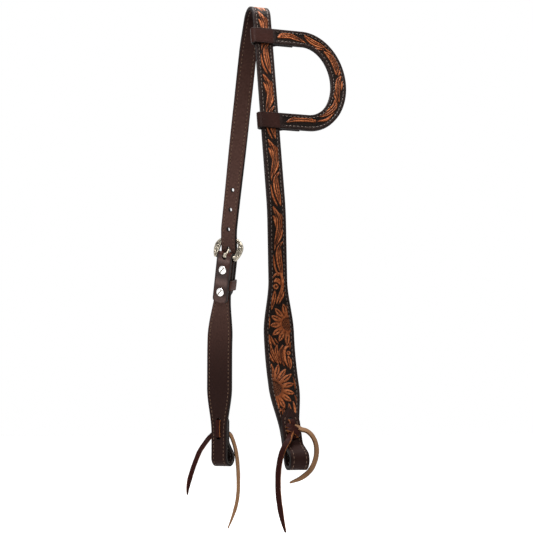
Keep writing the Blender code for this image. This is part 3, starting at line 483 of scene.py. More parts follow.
def spline(points, spacing):
    """A smooth line through points, with a point about every spacing, however many columns."""
    points = np.asarray(points, float)
    if points.ndim == 1:
        points = points[:, None]
    padded = np.vstack([2 * points[0] - points[1], points, 2 * points[-1] - points[-2]])
    out = []
    for a, b, c, d in zip(padded, padded[1:], padded[2:], padded[3:]):
        steps = max(2, int(np.linalg.norm((c - b)[:3]) / spacing))
        t = (np.arange(steps) / steps)[:, None]
        out.append(
            b + (c - a) * t / 2 + (2 * a - 5 * b + 4 * c - d) * t ** 2 / 2
            + (3 * b - a - 3 * c + d) * t ** 3 / 2
        )
    return np.vstack([*out, points[-1:]])


# Carving. Sizes in this part are millimetres, as a maker's pattern has them.
GROUND_DEPTH, LEAF_RISE = 0.6, 0.75
# The ground is pressed a little deeper in a narrow moat round each leaf, so its outline is dark
MOAT, MOAT_FLOOR = 0.55, -GROUND_DEPTH - 0.15
KNIFE_SOFTNESS, LEAST_HALF, LINE_STEP = 0.25, 0.15, 0.4
SEED, GOLDEN_ANGLE = 0.85, 2.399963
petal_shares = ((0, 0.72), (0.3, 0.98), (0.55, 1.0), (0.8, 0.62), (1.02, 0.06))


def blend(a, b, share):
    """a turning to b as share goes from 0 to 1."""
    return a + (b - a) * share


def within(distance, soft=KNIFE_SOFTNESS):
    """1 inside an outline and 0 outside it, from how far inside it a place is."""
    return np.clip(distance / soft + 0.5, 0, 1)


class Pattern:
    """Carving on a grid across and along a strap: its height, how much leaf shows and its tone, in painted
    light and shade.
    """

    def __init__(self, low, high, pitch=0.22, period=0):
        self.low, self.pitch, self.period = np.array(low, float), pitch, period
        counts = [int((b - a) / pitch) + 2 for a, b in zip(low, high)]
        axes = [a + pitch * np.arange(n) for a, n in zip(low, counts)]
        self.u, self.s = np.meshgrid(*axes, indexing="ij")
        self.height = np.full(self.u.shape, -GROUND_DEPTH)
        self.leaf = np.zeros(self.u.shape)
        self.tone = np.zeros(self.u.shape)

    def lay(self, spot, share, height, leaf, tone):
        """Lays a form's height, leaf and tone over what is there, by its share."""
        self.height[spot] = blend(self.height[spot], height, share)
        self.leaf[spot] = blend(self.leaf[spot], leaf, share)
        self.tone[spot] = blend(self.tone[spot], tone, share)

    def window(self, line, margin):
        """The part of the grid that a line comes near."""
        low = (line.min(axis=0) - margin - self.low) / self.pitch
        high = (line.max(axis=0) + margin - self.low) / self.pitch
        low = np.clip(low.astype(int), 0, np.array(self.u.shape))
        high = np.clip(high.astype(int) + 2, 0, np.array(self.u.shape))
        return np.s_[low[0]:high[0], low[1]:high[1]]

    def along(self, points, halves):
        """For each turn of the pattern: the spots near a line, and where they lie beside it.

        These are how far inside its outline, across from -1 to 1, from end to end and the half width.
        """
        for shift in ((0,) if not self.period else (-self.period, 0, self.period)):
            line = spline([(u, s + shift, w) for (u, s), w in zip(points, halves)], LINE_STEP)
            spot = self.window(line[:, :2], line[:, 2].max() + 2 * MOAT)
            du = self.u[spot][..., None] - line[:, 0]
            ds = self.s[spot][..., None] - line[:, 1]
            if not du.size:
                continue
            half = np.maximum(line[:, 2], LEAST_HALF)
            way = np.gradient(line[:, :2], axis=0)
            way /= np.linalg.norm(way, axis=1)[:, None]
            gap = np.hypot(du, ds)
            near = (gap / half).argmin(axis=-1)[..., None]
            gap = np.take_along_axis(gap, near, -1)[..., 0]
            side = np.take_along_axis(du * way[:, 1] - ds * way[:, 0], near, -1)[..., 0]
            near = near[..., 0]
            yield spot, half[near] - gap, side / half[near], near / (len(line) - 1), half[near]

    def leaf_along(self, points, halves, cuts=(), rise=1.0, lit=1.0, shade_at_ends=0.3, hatch=0, base=1.0):
        """A leaf or petal along a line: domed, in painted shade towards its ends, with knife cuts along it.

        Each cut is (where across, its half width in millimetres, from, to).
        """
        for spot, inside, across, along, half in self.along(points, halves):
            dome = np.sqrt(np.clip(1 - across ** 2, 0, 1))
            top = LEAF_RISE * rise * (0.45 + 0.55 * dome) * np.minimum(1, half / 0.7) ** 0.5 - GROUND_DEPTH
            # Each leaf is painted lighter along its crown and darker towards its edges, its ends, one side
            # and, where asked, its base, as painted highlight and painted shade
            tone = lit * (0.1 + 0.9 * dome) * (1 - shade_at_ends + shade_at_ends * np.sin(math.pi * along))
            tone = tone * (1 - 0.4 * np.clip(across, 0, 1))
            tone = tone * blend(base, 1, np.clip(along / 0.55, 0, 1))
            leaf = np.ones(tone.shape)
            for place, wide, start, end in cuts:
                open_cut = np.clip((along - start) / 0.06, 0, 1) * np.clip((end - along) / 0.1, 0, 1)
                crease = np.clip(1.8 - np.abs(across - place) * half / wide, 0, 1) * open_cut
                top, tone, leaf = top - 0.5 * crease, tone * (1 - crease), leaf * (1 - 0.92 * crease)
            if hatch:
                lines = np.clip(np.sin(2 * math.pi * (along * hatch + across * 0.4)), 0, 1) ** 2
                top, tone = top - 0.15 * lines, tone * (1 - 0.55 * lines)
            self.lay(spot, within(inside + MOAT), MOAT_FLOOR, 0, 0)
            self.lay(spot, within(inside), top, leaf, tone)

    def cut(self, points, halves):
        """A dark knife cut along a line, tapering as its half widths do."""
        for spot, inside, *_ in self.along(points, halves):
            deeper = self.height[spot] - 0.4
            self.lay(spot, within(inside), deeper, self.leaf[spot] * 0.1, self.tone[spot] * 0.2)

    def distance(self, middle):
        """How far each place is from a middle."""
        return np.hypot(self.u - middle[0], self.s - middle[1])

    def berry(self, middle, radius, pit=0.0):
        """A round berry or ring, with a dark pit in its middle."""
        gap, everywhere = self.distance(middle), np.s_[:, :]
        dome = np.sqrt(np.clip(1 - (gap / radius) ** 2, 0, 1))
        hollow = within(pit - gap, 0.3) if pit else 0 * gap
        self.lay(everywhere, within(radius + MOAT - gap), MOAT_FLOOR, 0, 0)
        top = LEAF_RISE * (0.45 + 0.55 * dome) - GROUND_DEPTH - 0.6 * hollow
        # Its dome is painted lighter towards its middle, as painted highlight
        self.lay(everywhere, within(radius - gap), top, 1 - 0.9 * hollow, 0.35 + 0.5 * dome)

    def seeds(self, middle, radius, rim):
        """A flower's middle: seeds set in spirals in a dark bowl, inside a smooth sloping rim."""
        gap = self.distance(middle)
        ring = ramp(gap, radius, rim)
        slope = 0.12 * np.sin(math.pi * ring)
        rimmed = within(radius + rim - gap, 0.5)
        # The rim is painted darker down its slope towards the seeds, as painted shade
        self.lay(np.s_[:, :], rimmed, slope, ramp(gap, radius, 0.7), 0.04 + 0.28 * ring)
        spot = gap < radius + 0.3
        count = int((radius / SEED) ** 2)
        reach = radius * np.sqrt((np.arange(count) + 0.5) / count)
        angle = np.arange(count) * GOLDEN_ANGLE
        seeds = np.stack([middle[0] + reach * np.cos(angle), middle[1] + reach * np.sin(angle)])
        near = np.hypot(self.u[spot][:, None] - seeds[0], self.s[spot][:, None] - seeds[1]).min(axis=1)
        top = np.clip(1.1 - (near / SEED) ** 2, 0, 1)
        share = within(radius - gap[spot], 0.3) * np.clip(radius + 0.6 - gap[spot], 0, 1)
        # Each seed is painted lighter on its top, as painted highlight
        self.lay(spot, share, 0.5 * top - 0.6, np.clip(top * 1.4 - 0.5, 0, 0.7), 0.05 + 0.4 * top)

    def flower(self, middle, radius, rim, tips, width):
        """A sunflower: petals with a slot down each, round a rim and its seeds."""
        middle, tips = np.array(middle, float), np.array(tips, float)
        for tip in tips:
            way = (tip - middle) / np.linalg.norm(tip - middle)
            base = middle + way * (radius + rim * 0.6)
            line = [base + (tip - base) * along for along, _ in petal_shares]
            halves = [wide * width for _, wide in petal_shares]
            # Each petal is painted darker towards its base, as painted shade
            self.leaf_along(line, halves, ((0, 0.42, 0.3, 0.86),), 0.95, shade_at_ends=0.25, base=0.25)
        self.seeds(middle, radius, rim)

    def soften(self):
        """Rounds the knife's edges a little, as wet leather takes them."""
        for name in ("height", "leaf", "tone"):
            grid = getattr(self, name)
            for axis, mode in ((0, "edge"), (1, "wrap" if self.period else "edge")):
                wide = np.pad(grid, [(1, 1) if k == axis else (0, 0) for k in range(2)], mode)
                count = grid.shape[axis]
                before, after = (np.take(wide, range(k, count + k), axis) for k in (0, 2))
                grid = (before + 2 * grid + after) / 4
            setattr(self, name, grid)
        return self

    def sample(self, u, s):
        """Height, leaf and tone at places across and along, in millimetres."""
        if self.period:
            s = self.low[1] + np.mod(s - self.low[1], self.period)
        x = np.clip((u - self.low[0]) / self.pitch, 0, self.u.shape[0] - 1.001)
        y = np.clip((s - self.low[1]) / self.pitch, 0, self.u.shape[1] - 1.001)
        i, j = x.astype(int), y.astype(int)
        a, b = x - i, y - j
        out = []
        for grid in (self.height, self.leaf, self.tone):
            out.append(
                grid[i, j] * (1 - a) * (1 - b) + grid[i + 1, j] * a * (1 - b)
                + grid[i, j + 1] * (1 - a) * b + grid[i + 1, j + 1] * a * b
            )
        return out


def carve(pattern, leaves, fuller=1.0):
    """Carves leaves in order: each its line, half widths, cuts and how lit it is."""
    for line, halves, cuts, lit in leaves:
        pattern.leaf_along(line, [half * fuller for half in halves], cuts, lit=lit)


# The cuts that most leaves have: one long one, or one long and one short beside it
ONE_CUT = ((0.1, 0.36, 0.12, 0.9),)
TWO_CUTS = ((-0.24, 0.42, 0.05, 0.94), (0.38, 0.36, 0.16, 0.88))
THREE_CUTS = ((-0.46, 0.34, 0.22, 0.88), (0.02, 0.42, 0.05, 0.95), (0.48, 0.32, 0.2, 0.85))


def vine_pattern():
    """The running leaves of the narrow strap, which repeat along it."""
    out = Pattern((-6.4, 0), (6.4, 72.4), period=72.4)
    carve(out, (
        (
            [(-4.7, 49), (-4.2, 55.4), (-3.3, 61.5), (-1, 67.4), (0.9, 71.3)],
            [0.3, 0.8, 0.9, 0.9, 0.3], (), 0.65,
        ),
        ([(1, 4.4), (4.2, 9.4), (5.3, 15), (5.2, 22)], [0.4, 1.3, 1.1, 0.3], (), 0.45),
        ([(5.3, 23), (4, 28.8), (1.1, 34.4), (-1.6, 39.6)], [0.4, 1.1, 1.0, 0.2], (), 0.85),
        ([(-4.1, 9.4), (-2.5, 12.4), (-1.4, 17), (-1.2, 22)], [0.5, 1.2, 1.1, 0.3], (), 0.95),
        (
            [(-3.6, 0.4), (-1.2, 4.6), (1.2, 9.4), (2.2, 15.4), (1.4, 23), (-0.4, 30.4), (-2.3, 37),
             (-3.5, 44.6)],
            [0.7, 1.7, 2.2, 2.4, 2.2, 1.8, 1.1, 0.2], TWO_CUTS, 1.0,
        ),
        (
            [(5.6, 35), (2.9, 38.4), (1.2, 43), (0.9, 49), (1.6, 56), (2.9, 63), (4.5, 70.4)],
            [0.5, 1.2, 2.1, 2.7, 2.6, 1.9, 0.4], TWO_CUTS, 1.0,
        ),
    ), 1.18)
    out.cut([(5.2, 38.2), (3.1, 40.6), (2.2, 44.6)], [0.5, 0.5, 0.2])
    out.cut([(-3.4, 6.2), (-0.8, 8.6), (0.2, 12)], [0.2, 0.45, 0.2])
    return out


def flare_pattern():
    """The widened cheek, measured up from its fold: a scroll, two half sunflowers and leaves."""
    out = Pattern((-12, -2), (12, 172))
    carve(out, (
        ([(-10.9, 106), (-10.3, 98.5), (-7.8, 88.5)], [0.5, 1.3, 0.4], (), 0.8),
        ([(-9.4, 105), (-7.2, 99.5), (-4.2, 94.5)], [0.4, 1.2, 0.3], (), 0.6),
        ([(-5.6, 103), (-3.4, 99.6), (-1.4, 97.4)], [0.3, 0.9, 0.3], (), 0.5),
        ([(-12, 88), (-10.4, 82.4), (-7.6, 78)], [0.3, 1.1, 0.3], (), 0.8),
        ([(-10, 95.6), (-8.4, 87.8), (-5.6, 81), (-3.2, 76.8)], [0.6, 1.7, 1.6, 0.4], ONE_CUT, 1.0),
        ([(-3.4, 95.6), (-4.2, 89.8), (-2.8, 83), (-0.8, 76.8)], [0.8, 1.9, 1.7, 0.4], ONE_CUT, 1.0),
        ([(2.6, 95.4), (0.4, 89), (0.6, 82), (2.6, 74.6)], [0.8, 2.0, 1.8, 0.4], TWO_CUTS, 1.0),
        ([(10.4, 95), (6.6, 94.2), (4.1, 90), (3.9, 84), (4.9, 78), (6.8, 73.2)],
         [0.6, 1.3, 1.5, 1.3, 1.0, 0.3], (), 1.0),
        ([(7.7, 84.4), (8.8, 80.6), (9.2, 76.4), (8.6, 71.4)], [0.8, 2.0, 1.8, 0.4], ONE_CUT, 1.0),
        ([(-11.6, 35), (-9.8, 27), (-7.2, 18)], [0.6, 1.5, 0.4], (), 0.9),
        ([(-4.2, 32), (-4.4, 24.5), (-5.4, 17)], [0.5, 1.6, 0.4], ONE_CUT, 0.9),
        ([(2.2, 35), (2.6, 28.4), (4.2, 19)], [0.5, 1.9, 0.4], ONE_CUT, 1.0),
        ([(7.1, 37), (7.7, 30), (6.7, 21)], [0.5, 1.4, 0.3], (), 1.0),
        ([(-0.5, 24), (-0.8, 14), (-0.4, 4)], [0.4, 1.6, 0.3], ONE_CUT, 1.0),
        ([(-11.4, 128), (-10.2, 121), (-10.6, 113)], [0.3, 0.9, 0.3], (), 0.5),
        ([(8.6, 106), (10.2, 99), (10.4, 92)], [0.3, 1.0, 0.3], (), 0.5),
        ([(10.4, 63), (11.4, 57), (10.9, 50)], [0.3, 0.8, 0.3], (), 0.45),
        ([(9.6, 44), (10.9, 37.5), (9.8, 30)], [0.3, 1.1, 0.3], (), 0.7),
    ))
    out.berry((8.4, 88), 2.2, 0.9)
    out.berry((-7.9, 28.6), 1.9, 0.7)
    out.flower(
        (9.3, 117.5), 6.2, 2.3,
        [(10.5, 139), (4.6, 137.4), (-4, 132.8), (-8, 125), (-9, 115.7), (-7, 106.3), (-0.8, 100),
         (7.4, 95.6)],
        2.75,
    )
    out.flower(
        (-11.8, 50.5), 7.6, 3.2,
        [(-10.8, 76.4), (-3.3, 76), (3.6, 71.4), (9.2, 66.2), (10, 56), (9.2, 45.8), (4.9, 37.6),
         (-2.4, 30.4), (-10, 27)],
        2.8,
    )
    carve(out, (
        ([(-3.9, 150.2), (-4.5, 146), (-5.5, 141), (-6.7, 136.6), (-7.7, 131.4)],
         [0.6, 1.9, 2.1, 1.6, 0.3], ((-0.1, 0.4, 0.1, 0.85),), 1.0),
        ([(5.8, 149.6), (4.4, 145.4), (2.2, 141.6), (0, 137.4)], [0.5, 1.2, 1.1, 0.3], (), 1.0),
        ([(-4.2, 159.8), (-1.6, 161), (0.8, 159.8), (2, 156.6)], [0.9, 2.2, 2.2, 0.6], (), 0.85),
    ))
    out.leaf_along(
        [(-5.8, 163), (-3.7, 166.2), (-0.3, 167.8), (3, 166.4), (4.3, 162.3), (4.4, 156.5), (3.4, 151.4),
         (1.6, 146.8), (-1, 141.8), (-2.4, 137.6)],
        [0.5, 1.1, 1.3, 1.4, 1.5, 1.6, 1.7, 1.6, 1.2, 0.4], rise=1.1, hatch=20,
    )
    out.cut([(-5.2, 161.8), (-2.6, 164.6), (0.4, 164.6), (2.6, 161.6)], [0.25, 0.5, 0.5, 0.2])
    out.cut([(2.9, 150.4), (1.4, 146), (-0.9, 141.4)], [0.2, 0.4, 0.2])
    out.berry((-2.8, 154.6), 2.9, 1.4)
    return out


def ear_pattern():
    """The ear loop's leaves, on the plane of the loop: x across the leg and y down the loop."""
    out = Pattern((8, -1), (90, 113))
    carve(out, (
        ([(45, 13.8), (54, 17.6), (66, 19)], [0.3, 1.0, 0.3], (), 0.55),
        ([(15.4, 9.2), (20, 6.9), (28, 6.5), (36, 8.8), (45, 12.4)], [0.8, 2.3, 2.5, 1.9, 0.4],
         TWO_CUTS, 1.0),
        ([(45.4, 4.6), (50, 8.8), (56, 12.4), (62, 14.6), (68, 16.4)], [0.7, 2.3, 2.6, 2.0, 0.4],
         TWO_CUTS, 1.0),
        ([(67, 17), (71.4, 20.8), (74.6, 24)], [0.3, 1.0, 0.3], (), 0.5),
        ([(66.4, 21.6), (71.8, 25.6), (75.6, 31.2), (77.8, 38.2), (77.4, 46)],
         [0.9, 2.5, 2.9, 2.7, 0.7], THREE_CUTS, 1.0),
        ([(81.2, 41), (81.4, 44.4), (79.4, 47.6)], [0.4, 1.0, 0.3], (), 0.7),
        ([(83.6, 53.4), (82.6, 58.6), (81.4, 64)], [0.4, 1.2, 0.3], (), 0.8),
        ([(72.6, 64.6), (73.6, 72), (76, 79)], [0.3, 1.1, 0.3], (), 0.7),
        ([(82.4, 48.2), (79.4, 53), (77.7, 60), (77.3, 67.4), (77.9, 77.6)], [0.7, 2.0, 2.4, 2.0, 0.4],
         TWO_CUTS, 1.0),
        ([(52, 101.4), (62, 98.6), (71, 90.6)], [0.3, 1.1, 0.3], (), 0.6),
        ([(73.4, 76.4), (72.4, 82.6), (66, 89.2), (58, 93.6), (49.6, 95.6)], [0.8, 2.4, 2.5, 1.8, 0.4],
         TWO_CUTS, 1.0),
        ([(17.4, 104.6), (24, 101.7), (33, 100), (42, 100), (49, 102.2)], [0.5, 1.9, 2.6, 2.2, 0.6],
         TWO_CUTS, 1.0),
    ), 1.22)
    out.berry((48.6, 101), 1.3, 0.5)
    return out


vine, flare, ear_leaves = (made().soften() for made in (vine_pattern, flare_pattern, ear_pattern))

# How a strap's face and back run in from its edge, in millimetres, and the columns between them
STITCH_INSET, CARVED_FROM, CREASE_INSET = 3.2, 3.75, 1.5
BORDER = np.array([0.55, 0.9, 1.4, 2.0, 2.55, 2.8, 3.0, 3.2, 3.4, 3.6, 3.9, 4.2])
BACK = np.array([1.5, 3.2, 5])
NARROW, EDGE_ROUNDING = 5.2, 0.5
FACE_COLUMNS, EAR_COLUMNS, BACK_COLUMNS = 54, 46, 14


def pressed(inset, place, half):
    """1 on a line pressed in at a place from the edge, and 0 past its half width."""
    return np.clip(1 - np.abs(inset - place) / half, 0, 1)


def carved(u, inset, patterns):
    """Relief in millimetres and paint where a tooled face is u across and inset from its edge.

    Each pattern comes with how far along it each place is, and with where it may show.
    """
    height, leaf, tone = np.full(u.shape, -GROUND_DEPTH), np.zeros(u.shape), np.zeros(u.shape)
    for pattern, along, shown in patterns:
        h, l, t = pattern.sample(u, along)
        use = shown & (h > height)
        height, leaf, tone = np.where(use, h, height), np.where(use, l, leaf), np.where(use, t, tone)
    return bordered(height, leaf, tone, inset)


def bordered(height, leaf, tone, inset):
    """Adds the smooth border, the stitching groove and the crease inside it to carved ground."""
    inner = ramp(inset, CARVED_FROM - 0.2, 0.45)
    groove = pressed(inset, STITCH_INSET, 0.42)
    bead = np.sin(math.pi * ramp(inset, 0.3, 2.5))
    height = height * inner + 0.16 * bead * (1 - inner) - 0.3 * groove
    height -= 0.06 * pressed(inset, CREASE_INSET, 0.25)
    smooth = (1 - inner) * (1 - 0.9 * groove)
    return height, np.stack([leaf * inner, tone, smooth, np.zeros(inset.shape)], axis=-1)


def plain_over(height, paint, inset, plain, crease_inset, depth, black, dark):
    """Turns carving to plain leather where plain is 1, with a black edge and a crease beside it.

    depth is the crease's, black how wide the black edge is and dark how dark the crease.
    """
    crease, skin = pressed(inset, crease_inset, 0.3), ramp(inset, black, 0.5)
    paint = paint * (1 - plain[..., None])
    paint[..., 2] = np.maximum(paint[..., 2], plain * (1 - skin))
    paint[..., 3] = plain * skin * (1 - dark * crease)
    return height * (1 - plain) - depth * plain * crease, paint


def lined(inset, wear_and_sheen=0.0):
    """The plain lining's face: flat, its stitching pressed in, its edge black, with painted sheen or
    without.
    """
    groove = pressed(inset, STITCH_INSET, 0.5)
    paint = np.zeros((*inset.shape, 4))
    paint[..., 1] = wear_and_sheen
    paint[..., 2] = np.maximum(1 - ramp(inset, 0.2, 0.8), 0.7 * groove)
    paint[..., 3] = wear_and_sheen * (1 - paint[..., 2])
    return -0.22 * groove, paint


def strip(name, stations, half, middle, thickness, face, columns, finish, body, out=1):
    """A strap's layer: its carved or stitched face, rounded edges and plain back, end to end.

    half is its half width at each station. face(u, inset) gives relief in millimetres and paint, and
    out is -1 where the face looks inward.
    """
    half = np.asarray(half, float) / MM
    scale = np.minimum(1, half / NARROW)[:, None]
    thick, corner = thickness / MM, EDGE_ROUNDING * scale
    side = half[:, None] - BORDER * scale
    core = side[:, -1:] * np.linspace(-1, 1, columns + 2)[1:-1]
    top = np.hstack([-side, core, side[:, ::-1]])
    relief, paint = face(top, (half[:, None] - np.abs(top)) / scale)
    under = half[:, None] - BACK * scale
    bottom = np.hstack([under, -under[:, ::-1]])
    angles = np.radians([35, 65, 90])
    edge_u = half[:, None] - corner + corner * np.sin(angles)
    edge_h = thick / 2 - corner + corner * np.cos(angles)
    loop_u = np.hstack([top, edge_u, edge_u[:, ::-1], bottom, -edge_u, -edge_u[:, ::-1]])
    loop_h = np.hstack([
        thick / 2 + relief * scale, edge_h, -edge_h[:, ::-1], np.full(bottom.shape, -thick / 2),
        -edge_h, edge_h[:, ::-1],
    ])
    spots = [np.array([list(v) for v in column]) for column in zip(*stations)]
    rows = (
        spots[0][:, None] + spots[1][:, None] * (loop_u * MM)[..., None]
        + spots[2][:, None] * (middle + out * loop_h * MM)[..., None]
    )
    painted = np.zeros((*loop_u.shape, 4))
    painted[..., 2] = 1
    painted[:, :top.shape[1]] = paint
    return write_mesh(name, rows, sweep(rows), painted.reshape(-1, 4), finish, body)


# Stitches are 4.3 mm from one to the next, each a short bead of thread sunk in its groove.
STITCH_PITCH, STITCH_LENGTH, THREAD_RADIUS, THREAD_SINK = 4.3 * MM, 2.7 * MM, 0.4 * MM, 0.15 * MM


def stitches(name, rows, finish, body):
    """Beads of thread along rows, each row (points along it, directions out of the face)."""
    around, rings = 7, 6
    turn_about = 2 * math.pi * np.arange(around) / around
    lean = math.pi * (np.arange(rings) + 0.5) / rings
    x = -np.cos(lean)[:, None] * np.ones(around)
    y = np.sin(lean)[:, None] ** 0.6 * np.cos(turn_about)
    z = np.sin(lean)[:, None] ** 0.6 * np.sin(turn_about)
    points, faces = [], []
    for line, outs in rows:
        run = run_along(line)
        for place in np.arange(STITCH_PITCH / 2, run[-1], STITCH_PITCH):
            ends = [
                np.array([np.interp(place + d, run, line[:, k]) for k in range(3)])
                for d in (-STITCH_LENGTH / 2, STITCH_LENGTH / 2)
            ]
            outward = np.array([np.interp(place, run, outs[:, k]) for k in range(3)])
            along = (ends[1] - ends[0]) / 2
            length = np.linalg.norm(along)
            if length < STITCH_LENGTH / 4:
                continue
            side = np.cross(outward, along / length)
            middle = (ends[0] + ends[1]) / 2
            bead = (
                middle + x[..., None] * along + y[..., None] * side * THREAD_RADIUS
                + z[..., None] * outward * THREAD_RADIUS * 0.8
            )
            start = len(points) * rings * around
            faces += [[start + i for i in face] for face in sweep(bead)]
            points.append(bead)
    return write_mesh(name, np.array(points), faces, None, finish, body, sharp=80)


def row_beside(stations, half, inset, height, keep):
    """A row of stitching inset from one edge, at a height along each section's outward way."""
    line, outs = [], []
    for (point, across, outward), w, use in zip(stations, half, keep):
        if not use:
            continue
        reach = w - abs(inset) * min(1, w / (NARROW * MM))
        side = across * (reach if inset > 0 else -reach)
        line.append(list(point + side + outward * height))
        outs.append(list(outward * (1 if height > 0 else -1)))
    return np.array(line), np.array(outs)


def sew(strap, body, stations, half, heights, keep, slots=("tooled_leather", "lining_leather")):
    """Stitches both edges of a strap on its face and on its lining, at the heights of the two."""
    inset = STITCH_INSET * MM
    for side, height, thread, slot in zip(
        ("outside", "inside"), heights, (face_thread, back_thread), slots
    ):
        rows = [row_beside(stations, half, edge * inset, height, keep) for edge in (1, -1)]
        stitches(f"{strap}_stitching_{side}", rows, thread, body)


def stands_for(node):
    """Hides the solid that a piece is seen instead of."""
    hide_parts(node)


def half_width(up):
    """Half the strap's width at a distance up from where its bit end starts to fold."""
    top = FLARE_FOOT + FLARE_FALL + FLARE_PLATEAU
    flared = ease((up - FLARE_FOOT) / FLARE_FALL) - ease((up - top) / FLARE_RISE)
    return (STRAP_WIDTH + (FLARE_WIDTH - STRAP_WIDTH) * flared) / 2


def tipped(half, from_tip, length, shares):
    """Narrows a strap to its tip, from the distance to the tip and the tip's shares."""
    along, wide = zip(*shares)
    narrow = STRAP_WIDTH / 2 * np.interp(from_tip / length, along, wide)
    return np.maximum(np.where(from_tip < length, np.minimum(half, narrow), half), 0.25 * MM)


def billet_lift(s):
    """How high the billet rides above the left middle line, to pass over the turnback and screws."""
    span = BILLET_LIFT_FROM + BILLET_LIFT_TO
    return BILLET_LIFT * float(ease((s - (BUCKLE_DROP - BILLET_LIFT_FROM)) / span))


def crown_station(t):
    """A station of the crown strap: t runs down the left leg, and is negative down the right."""
    return right.station(-t) if t < 0 else left.station(t, billet_lift(t))


def cheek_station(t):
    """A station of the left cheek: t runs down from the buckle's bar, and back inside above it."""
    if t >= 0:
        return cheek.station(BUCKLE_DROP + t)
    angle = min(-t / WRAP_RADIUS, math.pi)
    inside = -t - math.pi * WRAP_RADIUS
    reach = WRAP_RADIUS - TOOLED_MIDDLE
    if inside > 0:
        point, across, outward = left.station(BUCKLE_DROP + inside)
        return point - outward * reach, across, -outward
    turned = bar.to_3x3() @ Vector((0, math.sin(angle), math.cos(angle)))
    return bar.translation + turned * reach, bar.to_3x3() @ Vector((1, 0, 0)), turned


def spaced(start, end, step):
    """Places from start to end, evenly, about a step apart."""
    return np.linspace(start, end, int(round((end - start) / step)) + 1)


def places_between(stops, steps):
    """Places from the first stop to the last, with a step of its own between each two stops."""
    runs = [spaced(a, b, step)[:-1] for a, b, step in zip(stops, stops[1:], steps)]
    return np.append(np.concatenate(runs), stops[-1])


def crown_half(t):
    """Half the crown strap's width: flared on the right cheek and narrowed at both tips."""
    half = np.where(t > 0, STRAP_WIDTH / 2, half_width(right.fold + t))
    half = tipped(half, t + right.end, POINT_LENGTH, point_shares)
    return tipped(half, BUCKLE_DROP + BILLET_END - t, BILLET_TIP, billet_shares)


def cheek_half(t):
    """Half the left cheek's width: flared, pointed at its fold's end and rounded at the turnback's."""
    fold, end = cheek.fold - BUCKLE_DROP, cheek.end - BUCKLE_DROP
    start = -math.pi * WRAP_RADIUS - TURNBACK
    half = tipped(half_width(fold - t), end - t, POINT_LENGTH, point_shares)
    return tipped(half, t - start, TURNBACK_ROUNDING, turnback_shares)


def prism(outline, depth, matrix):
    """The two ends of a cutter with this outline, as far as depth either side of its matrix."""
    ends = (-depth, depth) if matrix.determinant() > 0 else (depth, -depth)
    return np.array([placed(matrix, [(x, y, z) for x, y in outline]) for z in ends])


def round_outline(radius, stretch=0.0, sides=32):
    """A circle, or a hole drawn out by a stretch along its strap."""
    angles = [2 * math.pi * (i + 0.5) / sides for i in range(sides)]
    return [
        (radius * math.cos(a), radius * math.sin(a) + (stretch if math.sin(a) > 0 else -stretch) / 2)
        for a in angles
    ]


def places_of(mesh):
    """Where a mesh's points are."""
    out = np.empty(3 * len(mesh.vertices), np.float32)
    mesh.vertices.foreach_get("co", out)
    return out.reshape(-1, 3)


def punch(piece, cutters, wall=(0, 0, 1, 0)):
    """Cuts holes into a piece and paints their walls, which are black edge paint on a strap."""
    points, faces = [], []
    for rows in cutters:
        start = sum(len(p) for p in points)
        faces += [[start + i for i in face] for face in sweep(rows)]
        points.append(rows.reshape(-1, 3))
    mesh = bpy.data.meshes.new("punch")
    mesh.from_pydata(np.vstack(points).tolist(), [], faces)
    tool = bpy.data.objects.new("punch", mesh)
    bpy.context.scene.collection.objects.link(tool)
    before = {tuple(point) for point in np.round(places_of(piece.data), 7).tolist()}
    holes = piece.modifiers.new("holes", "BOOLEAN")
    holes.operation, holes.solver, holes.object = "DIFFERENCE", "EXACT", tool
    graph = bpy.context.evaluated_depsgraph_get()
    cut = bpy.data.meshes.new_from_object(piece.evaluated_get(graph))
    piece.modifiers.clear()
    piece.data = cut
    bpy.data.objects.remove(tool)
    layer = cut.color_attributes["paint"].data
    for i, point in enumerate(np.round(places_of(cut), 7).tolist()):
        if tuple(point) not in before:
            layer[i].color = wall


# How far each punch reaches, either side of where it is set, and the tongue's slot over its bar
HOLE_PUNCH, WORN_PUNCH, LACE_PUNCH, SCREW_PUNCH = 5 * MM, 8 * MM, STRAP + 6 * MM, 9 * MM
LACE_HOLE_SHARE, SLOT_REACH = 0.9, 12 * MM


def tongue_slope():
    """How many degrees the tongue rises from its bar to lie over the frame's top rim."""
    rim_middle = FRAME_HEIGHT - FRAME_BELOW_BAR - FRAME_TOP_RIM / 2
    return math.degrees(math.atan2(FRAME_THICKNESS / 2 + GAP + TONGUE_RADIUS, rim_middle))


def billet_cutters():
    """The billet's holes: four round ones, and the one in use, drawn out by the leaning tongue."""
    out = []
    for i in (-1, 1, 2, 3):
        s = BUCKLE_DROP - HOLE_IN_USE - i * HOLE_PITCH
        out.append(prism(round_outline(HOLE_RADIUS), HOLE_PUNCH, left.matrix(s, billet_lift(s))))
    lift = billet_lift(BUCKLE_DROP - HOLE_IN_USE)
    lean = FRAME_TILT + tongue_slope()
    place = bar @ at(0, HOLE_IN_USE, lift) @ turn(90 - lean, "X").inverted()
    wear_and_sheen = round_outline(WORN_HOLE_RADIUS, WORN_HOLE_STRETCH)
    return out + [prism(wear_and_sheen, WORN_PUNCH, place @ at(0, -WORN_HOLE_STRETCH / 4))]


def lace_cutters(leg):
    """The two lace holes of a bit end, through all its layers."""
    middle = leg.matrix(leg.fold, leg.middle)
    hole = round_outline(LACE_HOLE_RADIUS * LACE_HOLE_SHARE)
    return [
        prism(hole, LACE_PUNCH, middle @ at(0, -down, (STRAP + GAP) / 2))
        for down in (LACE_LOWER_HOLE, -LACE_UPPER_HOLE)
    ]


def screw_cutters():
    """The holes for the two posts, through the turnback and the cheek."""
    hole = round_outline(POST_RADIUS + GAP)
    return [prism(hole, SCREW_PUNCH, bar @ at(0, -down)) for down in (UPPER_SCREW, LOWER_SCREW)]


